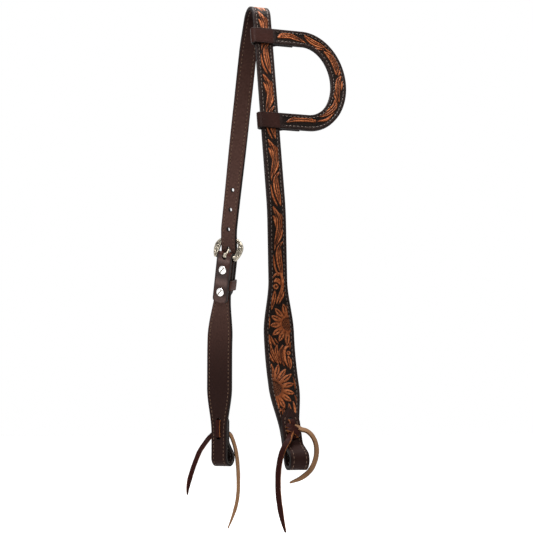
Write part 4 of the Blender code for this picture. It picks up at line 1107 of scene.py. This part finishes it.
def slot_cutter():
    """The slot that the tongue stands in, where the cheek rolls over the buckle's bar."""
    reach = BAR_RADIUS + GAP + TONGUE_WALL + SLOT_CLEARANCE
    radius = TONGUE_WIDTH / 2 + SLOT_CLEARANCE
    slot = [(x, y - reach + radius) for x, y in round_outline(radius) if y < 0]
    return prism(slot + [(radius, SLOT_REACH), (-radius, SLOT_REACH)], SCREW_PUNCH, bar)


# Where a leg's carving changes, in millimetres: below the crown, above its bit end's fold, and past it
VINE_START, VINE_ABOVE, FLARE_BELOW, PLAIN_FROM, PLAIN_WITHIN = 14.9, 165.5, 170, 18, 4
# How far above the fold the flare's fine steps reach, and the coarser step along a lining
FLARE_TOP, BACK_STEP = 172 * MM, 1.1 * MM
# The thread's height on both sides, and the unsewn lengths at the points, the tip and the buckle
FACE_THREAD = STRAP / 2 - THREAD_SINK
POINT_UNSEWN, TIP_UNSEWN, LINING_UNSEWN = 9 * MM, 5 * MM, 2 * MM


def leg_carving(u, inset, up, down, vine_from=-1):
    """A leg's tooling: the running leaves, the flowered flare, and plain leather past its fold.

    up is how far each row is above the fold and down how far below the crown, in millimetres.
    """
    climb, place = (way[:, None] * np.ones(u.shape) for way in (up, down))
    height, paint = carved(u, inset, (
        (vine, place - VINE_START, (climb > VINE_ABOVE) & (place > vine_from)),
        (flare, climb, (climb < FLARE_BELOW) & (climb > 0)),
    ))
    folded = ramp(-climb, PLAIN_FROM, PLAIN_WITHIN)
    paint[..., 2] = np.maximum(paint[..., 2], folded)
    return height * (1 - folded), paint


def crown():
    """The crown strap with its lining: right cheek, crown and billet in one."""
    start, end = -right.end, BUCKLE_DROP + BILLET_END
    t = places_between(
        (start, -right.fold, FLARE_TOP - right.fold, 0, end), (0.9 * MM, 0.4 * MM, 0.5 * MM, 0.7 * MM)
    )

    def tooled_face(u, inset):
        height, paint = leg_carving(u, inset, (right.fold + t) / MM, np.abs(t) / MM)
        # The leaves over the bend are painted pale, as a painted sheen on the crown's top
        bend_sheen = np.exp(-((t[:, None] / MM + 8) / 11) ** 2)
        paint[..., 3] = 0.7 * paint[..., 0] * paint[..., 1] * bend_sheen
        return height, paint

    stations, half = [crown_station(x) for x in t], crown_half(t)
    face = strip(
        "crown_strap_tooled", stations, half, TOOLED_MIDDLE, TOOLED, tooled_face, FACE_COLUMNS,
        tooled_leather, "strap",
    )
    coarse = spaced(start, end, BACK_STEP)
    # The lining is painted paler as painted sheen down the left leg to the billet, less and less up to the
    # bend
    wear_and_sheen = 0.72 * ramp(coarse / BUCKLE_DROP, 0.05, 0.75)[:, None] ** 0.3
    back = strip(
        "crown_lining_sewn", [crown_station(x) for x in coarse], crown_half(coarse), LINING_MIDDLE,
        LINING, lambda u, inset: lined(inset, wear_and_sheen), BACK_COLUMNS, lining_leather, "strap", out=-1,
    )
    cutters = billet_cutters() + lace_cutters(right)
    punch(face, cutters)
    punch(back, cutters)
    stands_for("crown_strap")
    stands_for("crown_lining")
    sewn = (t > start + POINT_UNSEWN) & (t < end - TIP_UNSEWN)
    sew(
        "crown", "strap", stations, half, (FACE_THREAD, -FACE_THREAD), sewn,
        ("tooled_leather", "tooled_leather"),
    )


crown()


def turnback(height, paint, back, inset, plain):
    """The turnback's plain glazed face, bowed up between its screws, from how far it is past the bar."""
    height, paint = plain_over(
        height, paint, inset, plain, crease_inset=1.6, depth=0.16, black=0.7, dark=0.6
    )
    upper, lower = UPPER_SCREW / MM, LOWER_SCREW / MM
    bow = np.sin(math.pi * ramp(back, upper, lower - upper)) ** 2
    bow = bow + 0.7 * np.sin(math.pi * ramp(back, 4, upper - 4)) ** 2
    # It is painted pale as painted sheen where it rolls off the bar, at the top of its bow and towards its
    # end
    share = (back - upper) / (lower - upper)
    painted_sheen = 0.85 * np.exp(-((share - 0.56) / 0.17) ** 2) + 0.7 * np.exp(-((share + 0.44) / 0.09) ** 2)
    painted_sheen = np.maximum(painted_sheen, 0.45 * ramp(share, 1.12, 0.12))
    paint[..., 1] += plain * painted_sheen * ramp(inset, 1.0, 2.0)
    return height + 0.55 * bow * plain * ramp(inset, 0, 3), paint


def left_cheek():
    """The left cheek with its lining, from the turnback's end round the bar to the bit end's point."""
    bend = math.pi * WRAP_RADIUS
    start, fold, end = -bend - TURNBACK, cheek.fold - BUCKLE_DROP, cheek.end - BUCKLE_DROP
    t = places_between((start, fold - FLARE_TOP, fold, end), (0.6 * MM, 0.4 * MM, 0.8 * MM))
    drop = BUCKLE_DROP / MM

    def tooled_face(u, inset):
        down = drop + t / MM
        # Its carving starts a few millimetres below the bar, where the plain turnback has ended
        height, paint = leg_carving(u, inset, (fold - t) / MM, down, vine_from=drop + 4)
        plain = np.clip((drop + 3 - down) / 1.5, 0, 1)[:, None] * np.ones(u.shape)
        return turnback(height, paint, (-bend - t[:, None]) / MM, inset, plain)

    stations, half = [cheek_station(x) for x in t], cheek_half(t)
    face = strip(
        "left_cheek_tooled", stations, half, TOOLED_MIDDLE, TOOLED, tooled_face, FACE_COLUMNS,
        turnback_leather, "strap",
    )
    coarse = spaced(LINING_START, end, BACK_STEP)
    # Its lining is painted paler as painted sheen, most just under the buckle
    wear_and_sheen = np.clip(1.15 - coarse / (130 * MM), 0, 1)[:, None]
    back = strip(
        "left_cheek_lining_sewn", [cheek_station(x) for x in coarse], cheek_half(coarse), LINING_MIDDLE,
        LINING, lambda u, inset: lined(inset, wear_and_sheen), BACK_COLUMNS, lining_leather, "strap", out=-1,
    )
    cutters = lace_cutters(cheek) + screw_cutters()
    punch(face, cutters + [slot_cutter()])
    punch(back, cutters)
    stands_for("left_cheek_strap")
    stands_for("left_cheek_lining")
    sewn = (t > LINING_START + LINING_UNSEWN) & (t < end - POINT_UNSEWN)
    sew("left_cheek", "strap", stations, half, (FACE_THREAD, -FACE_THREAD), sewn)


left_cheek()


def ear_wrap():
    """The ear tail's middle line in the plane of (across, outward), from over the strap's face."""
    out = STRAP / 2 + GAP + TOOLED / 2
    behind_lining = STRAP / 2 - LINING - GAP - TOOLED / 2
    angle = math.acos(1 - (behind_lining + out) / 2 / EAR_TAIL_BEND)
    run = EAR_TAIL_END - STRAP_WIDTH / 2 - 2 * EAR_TAIL_BEND * math.sin(angle)
    bend = EAR_TAIL_BEND * angle
    turns = (
        (math.pi * out, 180), (STRAP_WIDTH, 0), (bend, math.degrees(angle)),
        (bend, -math.degrees(angle)), (run, 0),
    )
    return Path((-STRAP_WIDTH / 2, out), 180, turns)


wrap = ear_wrap()
ear_frame = right.matrix(EAR_PLACE + EAR_HEIGHT / 2)
# The way round the loop's bend, and in millimetres where its carving and its sewing start
EAR_BEND_LENGTH, EAR_CARVED_FROM, EAR_SEWN_FROM = 165 * MM, 9.2, 13


def ear_rows(start, step):
    """The ear loop from its upper tail round to its lower one: its edges' x and y, outer and inner."""
    tail = spaced(start, EAR_ARM, step)
    middle = EAR_HEIGHT / 2
    rows = [(x, 0.0, x, EAR_BAND) for x in tail]
    for a in np.linspace(math.pi / 2, -math.pi / 2, int(EAR_BEND_LENGTH / step))[1:-1]:
        ca, sa = math.cos(a), math.sin(a)
        rows.append((
            EAR_ARM + EAR_REACH * ca, middle - middle * sa,
            EAR_ARM + (EAR_REACH - EAR_BAND) * ca, middle - (middle - EAR_BAND) * sa,
        ))
    rows += [(x, EAR_HEIGHT, x, EAR_HEIGHT - EAR_BAND) for x in tail[::-1]]
    return np.array(rows)


def ear_stations(rows):
    """Stations for strip() with u running out to the loop's outer edge, and their half widths."""
    out, half = [], []
    for ox, oy, ix, iy in rows:
        x, y = (ox + ix) / 2, (oy + iy) / 2
        width = math.hypot(ox - ix, oy - iy)
        if x >= -STRAP_WIDTH / 2:
            place = Vector((x, EAR_HEIGHT / 2 - y, wrap.start[1]))
            out_way = Vector((0, 0, 1))
        else:
            px, pz, heading = wrap.at(-STRAP_WIDTH / 2 - x)
            place = Vector((px, EAR_HEIGHT / 2 - y, pz))
            out_way = Vector((math.sin(heading), 0, -math.cos(heading)))
        across = Vector(((ox - ix) / width, -(oy - iy) / width, 0))
        turned = ear_frame.to_3x3()
        out.append((ear_frame @ place, turned @ across, turned @ out_way))
        half.append(width / 2)
    return out, np.array(half)


def ear():
    """The ear strap with its lining: carved round its loop, with plain tails round the crown strap."""
    rows = ear_rows(-STRAP_WIDTH / 2 - wrap.length, step=0.42 * MM)
    stations, half = ear_stations(rows)
    middle = (rows[:, :2] + rows[:, 2:]) / 2 / MM
    way = (rows[:, :2] - rows[:, 2:]) / np.hypot(*(rows[:, :2] - rows[:, 2:]).T)[:, None]

    def tooled_face(u, inset):
        x = middle[:, :1] + u * way[:, :1]
        y = middle[:, 1:] + u * way[:, 1:]
        from_tail = x - EAR_CARVED_FROM
        height, paint = bordered(*ear_leaves.sample(x, y), np.minimum(inset, np.maximum(from_tail, 0)))
        plain = np.clip(1 - from_tail / 0.6, 0, 1)
        return plain_over(
            height, paint, inset, plain, crease_inset=CREASE_INSET, depth=0.12, black=0.3, dark=0.5
        )

    face = strip(
        "ear_strap_tooled", stations, half, 0, TOOLED, tooled_face, EAR_COLUMNS, tooled_leather, "ear"
    )
    behind = TOOLED / 2 + GAP + LINING / 2
    back = strip(
        "ear_lining_sewn", *ear_stations(ear_rows(STRAP_WIDTH / 2 + GAP, step=1.2 * MM)), -behind,
        LINING, lambda u, inset: lined(inset), BACK_COLUMNS, lining_leather, "ear", out=-1,
    )
    stands_for("ear_strap")
    stands_for("ear_lining")
    heights = (TOOLED / 2 - THREAD_SINK, THREAD_SINK - behind - LINING / 2)
    sew("ear", "ear", stations, half, heights, middle[:, 0] > EAR_SEWN_FROM)


ear()

# Sections of a lace as shares of its half width and half thickness, grain side first, then its raw
# edges and flesh side: a hanging end's and a tied stretch's
LACE_THICK, WRAP_THICK = 2.2 * MM, 1.7 * MM
end_shares = np.array([
    (-0.96, 1), (-0.6, 1.0), (0, 1.06), (0.6, 1.0), (0.96, 1), (1.0, 0.75), (1.0, -0.75), (0.96, -1),
    (0, -1.0), (-0.96, -1), (-1.0, -0.75), (-1.0, 0.75),
])
tied_shares = np.array([
    (-0.92, 0.9), (-0.5, 1.0), (0.5, 1.0), (0.92, 0.9), (1.0, 0.5), (1.0, -0.6), (0.9, -1),
    (-0.9, -1), (-1.0, -0.6), (-1.0, 0.5),
])
END_GRAIN, TIED_GRAIN = 5, 4
# Widths of the tied lace's bridge and wraps, and how far in millimetres a wrap reaches and stands up
BRIDGE_WIDTH, WRAP_WIDTH, WRAP_REACH, WRAP_RISE = 5.0 * MM, 4.6 * MM, 6.3, 2.1


def flat_lace(line, half, high, facing, section, grain, closed=False):
    """Rows and paint of a flat lace along a line, its grain side facing the ways given."""
    if closed:
        along = np.roll(line, -1, axis=0) - np.roll(line, 1, axis=0)
    else:
        along = np.gradient(line, axis=0)
    along /= np.linalg.norm(along, axis=1)[:, None]
    out = facing - along * (facing * along).sum(axis=1)[:, None]
    out /= np.linalg.norm(out, axis=1)[:, None]
    side = np.cross(along, out)
    rows = (
        line[:, None] + side[:, None] * (half * section[:, 0])[..., None]
        + out[:, None] * (high * section[:, 1])[..., None]
    )
    paint = np.zeros((*rows.shape[:2], 4))
    paint[:, grain:, 2] = 1
    return rows, paint.reshape(-1, 4)


def lace_tail(name, node, leads, route, width, facings, finish):
    """A lace's free end from inside its knot: flat, hanging in its own curl, cut to a point."""
    line = spline(np.array((*leads, *route)) * MM, 1.6 * MM)
    run = run_along(line)
    share = run / run[-1]
    taper = 0.28 + 0.72 * np.clip((1 - share) / 0.2, 0, 1) ** 0.8
    # Hand-cut lace wavers a little in its width and twists a little as it hangs
    waver = 1 + 0.015 * np.sin(share * 31) + 0.015 * np.sin(share * 57 + 1)
    places = np.linspace(0, 1, len(facings))
    facing = np.stack([np.interp(share, places, [f[k] for f in facings]) for k in range(3)], axis=1)
    facing[:, 0] += 0.12 * np.sin(share * 9)
    half = (width * taper * waver)[:, None] / 2
    high = np.minimum(LACE_THICK / 2, half * 0.8)
    rows, paint = flat_lace(line, half, high, facing, end_shares, END_GRAIN)
    piece = write_mesh(name, rows, sweep(rows), paint, finish, "strap", sharp=30)
    stands_for(node)


lace_tail(
    "right_dark_lace", "right_lace_tail_dark", ((-1.5, -104.6, -440.5),), RIGHT_DARK_ROUTE, 5.2 * MM,
    [(-0.9, -0.5, 0.3), (-0.6, -0.8, 0), (-0.55, -0.8, 0), (-0.7, -0.7, 0)], latigo_lace,
)
lace_tail(
    "right_tan_lace", "right_lace_tail_tan", ((0.2, -101.3, -435.6), (4.6, -102.2, -436.4)),
    RIGHT_TAN_ROUTE, 4.6 * MM,
    [(0, -0.94, 0.34), (0.1, -0.8, 0.6), (0.3, -0.9, 0.3), (0.2, -0.95, 0.2), (0.1, -0.95, 0),
     (-0.1, -0.9, -0.4)],
    tan_lace,
)
lace_tail(
    "left_dark_lace", "left_lace_tail_dark", ((6, 136.6, -440.3),), LEFT_DARK_ROUTE, 5.2 * MM,
    [(-0.3, -0.6, 0.7), (-0.5, -0.85, 0.1), (-0.3, -0.95, 0), (-0.2, -0.97, 0)], latigo_lace,
)
lace_tail(
    "left_tan_lace", "left_lace_tail_tan", ((10.5, 130.6, -443.2),), LEFT_TAN_ROUTE, 4.0 * MM,
    [(0.3, -0.9, 0.3), (0.1, -0.97, 0), (-0.2, -0.97, 0), (-0.6, -0.8, 0)], tan_lace,
)


def keeper():
    """The keeper: a glazed leather band round cheek and billet, creased beside both edges."""
    wall, radius, lip, corner_steps = KEEPER_THICKNESS, KEEPER_CORNER, 0.4 * MM, 8
    low, high = KEEPER_INNER - wall / 2, KEEPER_OUTER + wall / 2
    side = STRAP_WIDTH / 2 + KEEPER_CLEARANCE + wall
    corners = (
        (side - radius, high - radius, 0), (radius - side, high - radius, 90),
        (radius - side, low + radius, 180), (side - radius, low + radius, 270),
    )
    track = []
    for x, y, start in corners:
        for i in range(corner_steps + 1):
            a = math.radians(start + 90 * i / corner_steps)
            track.append((x + radius * math.cos(a), y + radius * math.sin(a), math.cos(a), math.sin(a)))
    width = KEEPER_WIDTH / 2
    share = np.array([-0.96, -0.84, -0.79, -0.74, -0.4, 0, 0.4, 0.74, 0.79, 0.84, 0.96])
    dip = np.array([0, 0, -0.16, 0, 0.03, 0.05, 0.03, 0, -0.16, 0, 0]) * MM
    profile = [(s * width, d) for s, d in zip(share, dip)]
    profile += [(width, -lip), (width, -wall + 0.3 * MM), (0.95 * width, -wall)]
    profile += [(-0.95 * width, -wall), (-width, -wall + 0.3 * MM), (-width, -lip)]
    place = bar @ at(0, -KEEPER_PLACE)
    rows = np.array([
        placed(place, [(x + nx * d, v, y + ny * d) for v, d in profile]) for x, y, nx, ny in track
    ])
    # Its creases and edges are black, and all the rest is glazed
    edge = np.array([0.5, 0, 0.6, 0, 0, 0, 0, 0, 0.6, 0, 0.5] + [1] * 6)
    paint = np.zeros((*rows.shape[:2], 4))
    paint[..., 2], paint[..., 3] = edge, 1 - edge
    piece = write_mesh(
        "keeper_band", rows, sweep(rows, round_again=True), paint.reshape(-1, 4), glazed_leather, "keeper"
    )
    stands_for("keeper")


keeper()


def along_outline(points, count):
    """An outline's points again, as many as told and evenly along it."""
    points = np.array(points)
    run = run_along(points)
    place = np.linspace(0, run[-1], count)
    return np.stack([np.interp(place, run, points[:, k]) for k in range(2)], axis=1)


def buckle_outlines(count):
    """The horseshoe's outer and inner outlines, from one foot round to the other."""
    middle = FRAME_HEIGHT / 2 - FRAME_BELOW_BAR
    inner_half = FRAME_OPENING / 2
    half = inner_half + FRAME_SIDE
    inner_rise = FRAME_HEIGHT / 2 - FRAME_TOP_RIM
    end = math.acos((inner_half + FRAME_END) / half)
    lower_rise = (middle + FRAME_BELOW_BAR) / math.sin(end)
    outer = []
    for angle in np.linspace(-end, math.pi + end, 120):
        rise = FRAME_HEIGHT / 2 if math.sin(angle) > 0 else lower_rise
        outer.append((half * math.cos(angle), middle + rise * math.sin(angle)))
    power = 2 / OPENING_SQUARENESS
    inner = [(inner_half, -FRAME_BELOW_BAR)]
    for angle in np.linspace(0, math.pi, 160):
        x = math.copysign(abs(math.cos(angle)) ** power, math.cos(angle))
        inner.append((inner_half * x, middle + inner_rise * abs(math.sin(angle)) ** power))
    inner.append((-inner_half, -FRAME_BELOW_BAR))
    return along_outline(outer, count), along_outline(inner, count)


# The buckle's engraving, in millimetres: its scroll's width, middle and wave, and its roped edge
SCROLL_WIDTH, SCROLL_MIDDLE, SCROLL_WAVE = 6.8, 3.4, 7.5
ROPE_INSET, ROPE_HALF, ROPE_PITCH, ROPE_SLANT, SCROLL_INSET = 0.7, 0.6, 1.3, 0.8, 1.35
FRAME_ROUNDING = 1.1 * MM


def scroll_pattern(length):
    """The buckle's engraving: a scroll that waves along the rim, with a berry in each bend."""
    out = Pattern((0, 0), (8, length + 1), pitch=0.16)

    def bent(turns):
        return [(SCROLL_MIDDLE + aside * flip, s + SCROLL_WAVE * share) for aside, share in turns]

    for k in range(int(length / SCROLL_WAVE) + 1):
        s, flip = k * SCROLL_WAVE, 1 if k % 2 else -1
        stem = bent(((-1.1, 0), (1.3, 0.35), (0.9, 0.75), (-0.3, 1)))
        out.leaf_along(stem, [0.3, 0.75, 0.6, 0.2], ((0, 0.16, 0.1, 0.9),))
        out.leaf_along(bent(((-1.0, 0.3), (-1.4, 0.6), (0, 0.85))), [0.2, 0.6, 0.2])
        out.berry(bent(((0.1, 0.55),))[0], 0.42)
    return out


def buckle():
    """The horseshoe buckle: an engraved scroll between roped edges, silvered and blacked."""
    count, across, top = 360, 29, FRAME_THICKNESS / 2
    outer, inner = buckle_outlines(count)
    length = np.linalg.norm(np.diff((outer + inner) / 2, axis=0), axis=1).sum() / MM
    place = np.linspace(0, length, count)[:, None]
    columns = np.linspace(0.04, 0.96, across)
    wide = np.linalg.norm(outer - inner, axis=1)[:, None] / MM
    inset = np.minimum(columns, 1 - columns) * wide
    height, leaf, _ = scroll_pattern(length).sample(
        columns * SCROLL_WIDTH * np.ones((count, 1)), place * np.ones(across)
    )
    twist = place + ROPE_SLANT * np.where(columns < 0.5, 1, -1)
    rope = np.abs(np.sin(math.pi * twist / ROPE_PITCH)) ** 0.7
    edge = pressed(inset, ROPE_INSET, ROPE_HALF)
    inside = ramp(inset, SCROLL_INSET, 0.3)
    dome = 0.75 * (1 - (2 * columns - 1) ** 2)
    relief = inside * (height + 0.2) * 0.55 + edge ** 0.5 * rope * 0.3 - 0.75 + dome
    # Blacking stays in the ground round the scroll, beside the rope and between its turns
    black = np.maximum(0.8 * inside * (1 - leaf), pressed(inset, SCROLL_INSET, 0.2))
    black = np.maximum(black, 0.7 * edge * (1 - rope))
    flat = inner[:, None] + (outer - inner)[:, None] * columns[None, :, None]
    frame_way = bar @ turn(FRAME_TILT, "X")
    low, high = FRAME_ROUNDING - top, top - FRAME_ROUNDING
    rows, paint = [], []
    for i in range(count):
        face = [(*flat[i, j], top + relief[i, j] * MM) for j in range(across)]
        underside = [(x, y, -z) for x, y, z in face[::-1]]
        outer_edge = [(*outer[i], high), (*outer[i], low)]
        inner_edge = [(*inner[i], low), (*inner[i], high)]
        rows.append(placed(frame_way, face + outer_edge + underside + inner_edge))
        # Its inner walls are painted black, as painted shade in the opening, and its outer walls a little
        # dark
        paint.append([*black[i], 0.3, 0.3, *black[i, ::-1], 1, 1])
    rows = np.array(rows)
    faces, points = sweep(rows), rows.reshape(-1, 3)
    reach = FRAME_OPENING / 2 + FRAME_SIDE * 0.45
    rod = np.array([
        placed(bar, [(x * reach, *p) for p in round_outline(BAR_RADIUS * share, sides=24)])
        for x, share in ((-1.0, 0.75), (-0.98, 1), (0.98, 1), (1.0, 0.75))
    ])
    faces += [[len(points) + i for i in face][::-1] for face in sweep(rod)]
    shade = np.concatenate([np.array(paint).ravel(), np.full(rod.shape[0] * rod.shape[1], 0.3)])
    piece = write_mesh(
        "horseshoe_buckle", np.vstack([points, rod.reshape(-1, 3)]), faces,
        np.stack([shade, 0 * shade, 0 * shade, 0 * shade], axis=-1), antique_silver, "buckle", sharp=60,
    )
    stands_for("buckle_frame")


buckle()


def screw_head(name, down):
    """A turnback screw: a low polished dome with a rounded lip, slotted across, on its shank."""
    seat, head, high = TURNBACK_FACE + GAP, SCREW_HEAD_RADIUS, SCREW_HEAD_HEIGHT
    lip, dome_from, sides = 0.15 * MM, 0.35 * MM, 48
    inward = bar @ at(0, -down) @ turn(180, "Y")
    profile = [
        (head * math.sin(a), seat + dome_from + (high - dome_from) * math.cos(a))
        for a in np.radians(np.linspace(3, 90, 16))
    ]
    profile += [(head, seat + lip), (head - lip, seat), (SCREW_RADIUS, seat)]
    profile += [(SCREW_RADIUS, 0.1 * MM), (SCREW_RADIUS * 0.8, 0)]
    rows = np.array([
        placed(inward, [(x, y, z) for x, y in round_outline(r, sides=sides)]) for r, z in profile
    ])
    paint = np.zeros((len(profile) * sides, 4))
    piece = write_mesh(name, rows, sweep(rows), paint, polished_nickel, "strap", sharp=50)
    half = SCREW_SLOT_WIDTH / 2
    slot = [(-2 * head, -half), (2 * head, -half), (2 * head, half), (-2 * head, half)]
    place = inward @ at(0, 0, seat + high) @ turn(SCREW_SLOT_TURN, "Z")
    punch(piece, [prism(slot, SCREW_SLOT_DEPTH, place)], (1, 0, 0, 0))
    stands_for(name.replace("_slotted", ""))


screw_head("upper_screw_slotted", UPPER_SCREW)
screw_head("lower_screw_slotted", LOWER_SCREW)


def laced(name, node, leg, flip):
    """The lace through the two holes, its bridge inside, and two crossing wraps on the outside."""
    place = leg.matrix(leg.fold, leg.middle)
    seat, thick = (STRAP / 2 + GAP + STRAP + GAP) / MM, LACE_THICK / MM
    inner, outer = -((STRAP / 2 + GAP) / MM + thick / 2), seat + thick / 2
    route = [
        (0.6 * flip, 9.5, outer + 0.5), (0.3 * flip, 13.6, outer + 0.9), (0, 16.2, outer - 0.4),
        (0, 16.6, seat - 3), (0, 16.5, 0.5), (0, 15.7, inner + 0.4), (0, 13.4, inner),
        (0, 7.5, inner), (0, 1.6, inner), (0, -0.8, inner + 0.4), (0, -1.6, 0.5),
        (0, -1.7, seat - 3), (0, -1.3, outer - 0.4), (0.3 * flip, 1.3, outer + 0.9),
        (0.6 * flip, 5, outer + 0.5),
    ]
    line = spline(placed(place, np.array(route) * MM), 0.7 * MM)
    heart = placed(place, [(0, 7.5 * MM, (inner + outer) / 2 * MM)])[0]
    stretches = [(line, heart, BRIDGE_WIDTH, LACE_THICK, False)]
    for i, (up, tilt) in enumerate(((7.4, -28), (3.2, -34))):
        over, lean = seat + 1.9 + 0.5 * i, math.radians(tilt) * flip
        loop = []
        for a in np.linspace(0, 2 * math.pi, 41)[:-1]:
            x, z = WRAP_REACH * math.cos(a), WRAP_RISE * math.sin(a)
            loop.append((x * math.cos(lean), up + x * math.sin(lean), over + z))
        *loop, middle = placed(place, np.array([*loop, (0, up, over)]) * MM)
        stretches.append((np.array(loop), middle, WRAP_WIDTH, WRAP_THICK, True))
    points, faces, paints = [], [], []
    for line, heart, width, thick, closed in stretches:
        half, high = (np.full((len(line), 1), size / 2) for size in (width, thick))
        facing = line - np.array(heart)
        rows, paint = flat_lace(line, half, high, facing, tied_shares, TIED_GRAIN, closed)
        start = sum(len(p) for p in points)
        faces += [[start + i for i in face] for face in sweep(rows, round_again=closed)]
        points.append(rows.reshape(-1, 3))
        paints.append(paint)
    piece = write_mesh(name, np.vstack(points), faces, np.vstack(paints), latigo_lace, "strap", sharp=45)
    stands_for(node)


laced("right_knotted_lace", "right_lace_knot", right, 1)
laced("left_knotted_lace", "left_lace_knot", cheek, -1)

for node, finish in (
    ("buckle_tongue", antique_silver),
    ("upper_screw_post", polished_nickel), ("lower_screw_post", polished_nickel),
):
    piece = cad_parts[node]
    piece.data.materials.clear()
    piece.data.materials.append(finish)


def seen_as_background(tree):
    """1 to the camera, in reflections and through clear things, and 0 to all other light."""
    sight = add(tree, "ShaderNodeLightPath", {})
    seen = sight.outputs["Is Camera Ray"]
    for ray in ("Is Glossy Ray", "Is Transmission Ray"):
        either = {0: seen, 1: sight.outputs[ray]}
        seen = add(tree, "ShaderNodeMath", either, operation="MAXIMUM").outputs[0]
    return seen


# A plain white floor just under the lace ends, which keeps their shadow
FLOOR_REACH, FLOOR_HEIGHT = 9, -0.562
corners = [(x * FLOOR_REACH, y * FLOOR_REACH, FLOOR_HEIGHT) for x, y in ((-1, -1), (1, -1), (1, 1), (-1, 1))]
floor_mesh = bpy.data.meshes.new("floor")
floor_mesh.from_pydata(corners, [], [(0, 1, 2, 3)])
floor = bpy.data.objects.new("floor", floor_mesh)
bpy.context.scene.collection.objects.link(floor)
pale, tree, shader, _ = new_material("white_painted_floor")
feed(tree, shader, {"Base Color": colour("#E6E6E4"), "Roughness": 0.8})
glow = add(tree, "ShaderNodeEmission", {"Color": colour("#FFFFFF"), "Strength": 0.85})
both = add(tree, "ShaderNodeAddShader", {0: shader.outputs[0], 1: glow.outputs[0]})
chosen = {0: seen_as_background(tree), 1: shader.outputs[0], 2: both.outputs[0]}
floor_look = add(tree, "ShaderNodeMixShader", chosen)
feed(tree, tree.nodes["Material Output"], {0: floor_look.outputs[0]})
floor_mesh.materials.append(pale)

# White all round to the eye, to metal and to glass, and a soft grey light to everything else
world = bpy.data.worlds.new("studio")
bpy.context.scene.world = world
world.use_nodes = True
tree = world.node_tree
bright = {0: seen_as_background(tree), 1: 0.0, 2: 1.0, 3: 0.28, 4: 1.0}
level = add(tree, "ShaderNodeMapRange", bright)
feed(tree, tree.nodes["Background"], {"Strength": level.outputs[0], "Color": colour("#FFFFFF")})

# Soft lamps, each aimed at the middle of the headstall: where it stands, its size and its watts
HEADSTALL_MIDDLE = Vector((0, 0, -0.27))
for name, place, size, power in (
    ("window_light", (-0.35, -0.55, 0.42), 0.5, 5.4),
    ("fill_light", (1.0, -0.9, 0.6), 1.0, 3.6),
    ("back_light", (0.2, 1.4, 0.5), 1.0, 6),
    ("top_light", (-0.04, -0.03, 0.33), 0.25, 7),
    ("side_light", (-1.25, 0.0, -0.32), 0.35, 1.2),
):
    lamp = bpy.data.lights.new(name, "AREA")
    lamp.size, lamp.energy = size, power
    holder = bpy.data.objects.new(name, lamp)
    bpy.context.scene.collection.objects.link(holder)
    holder.location = place
    way = HEADSTALL_MIDDLE - holder.location
    holder.rotation_euler = way.to_track_quat("-Z", "Y").to_euler()

bpy.context.scene.view_settings.view_transform = "Standard"
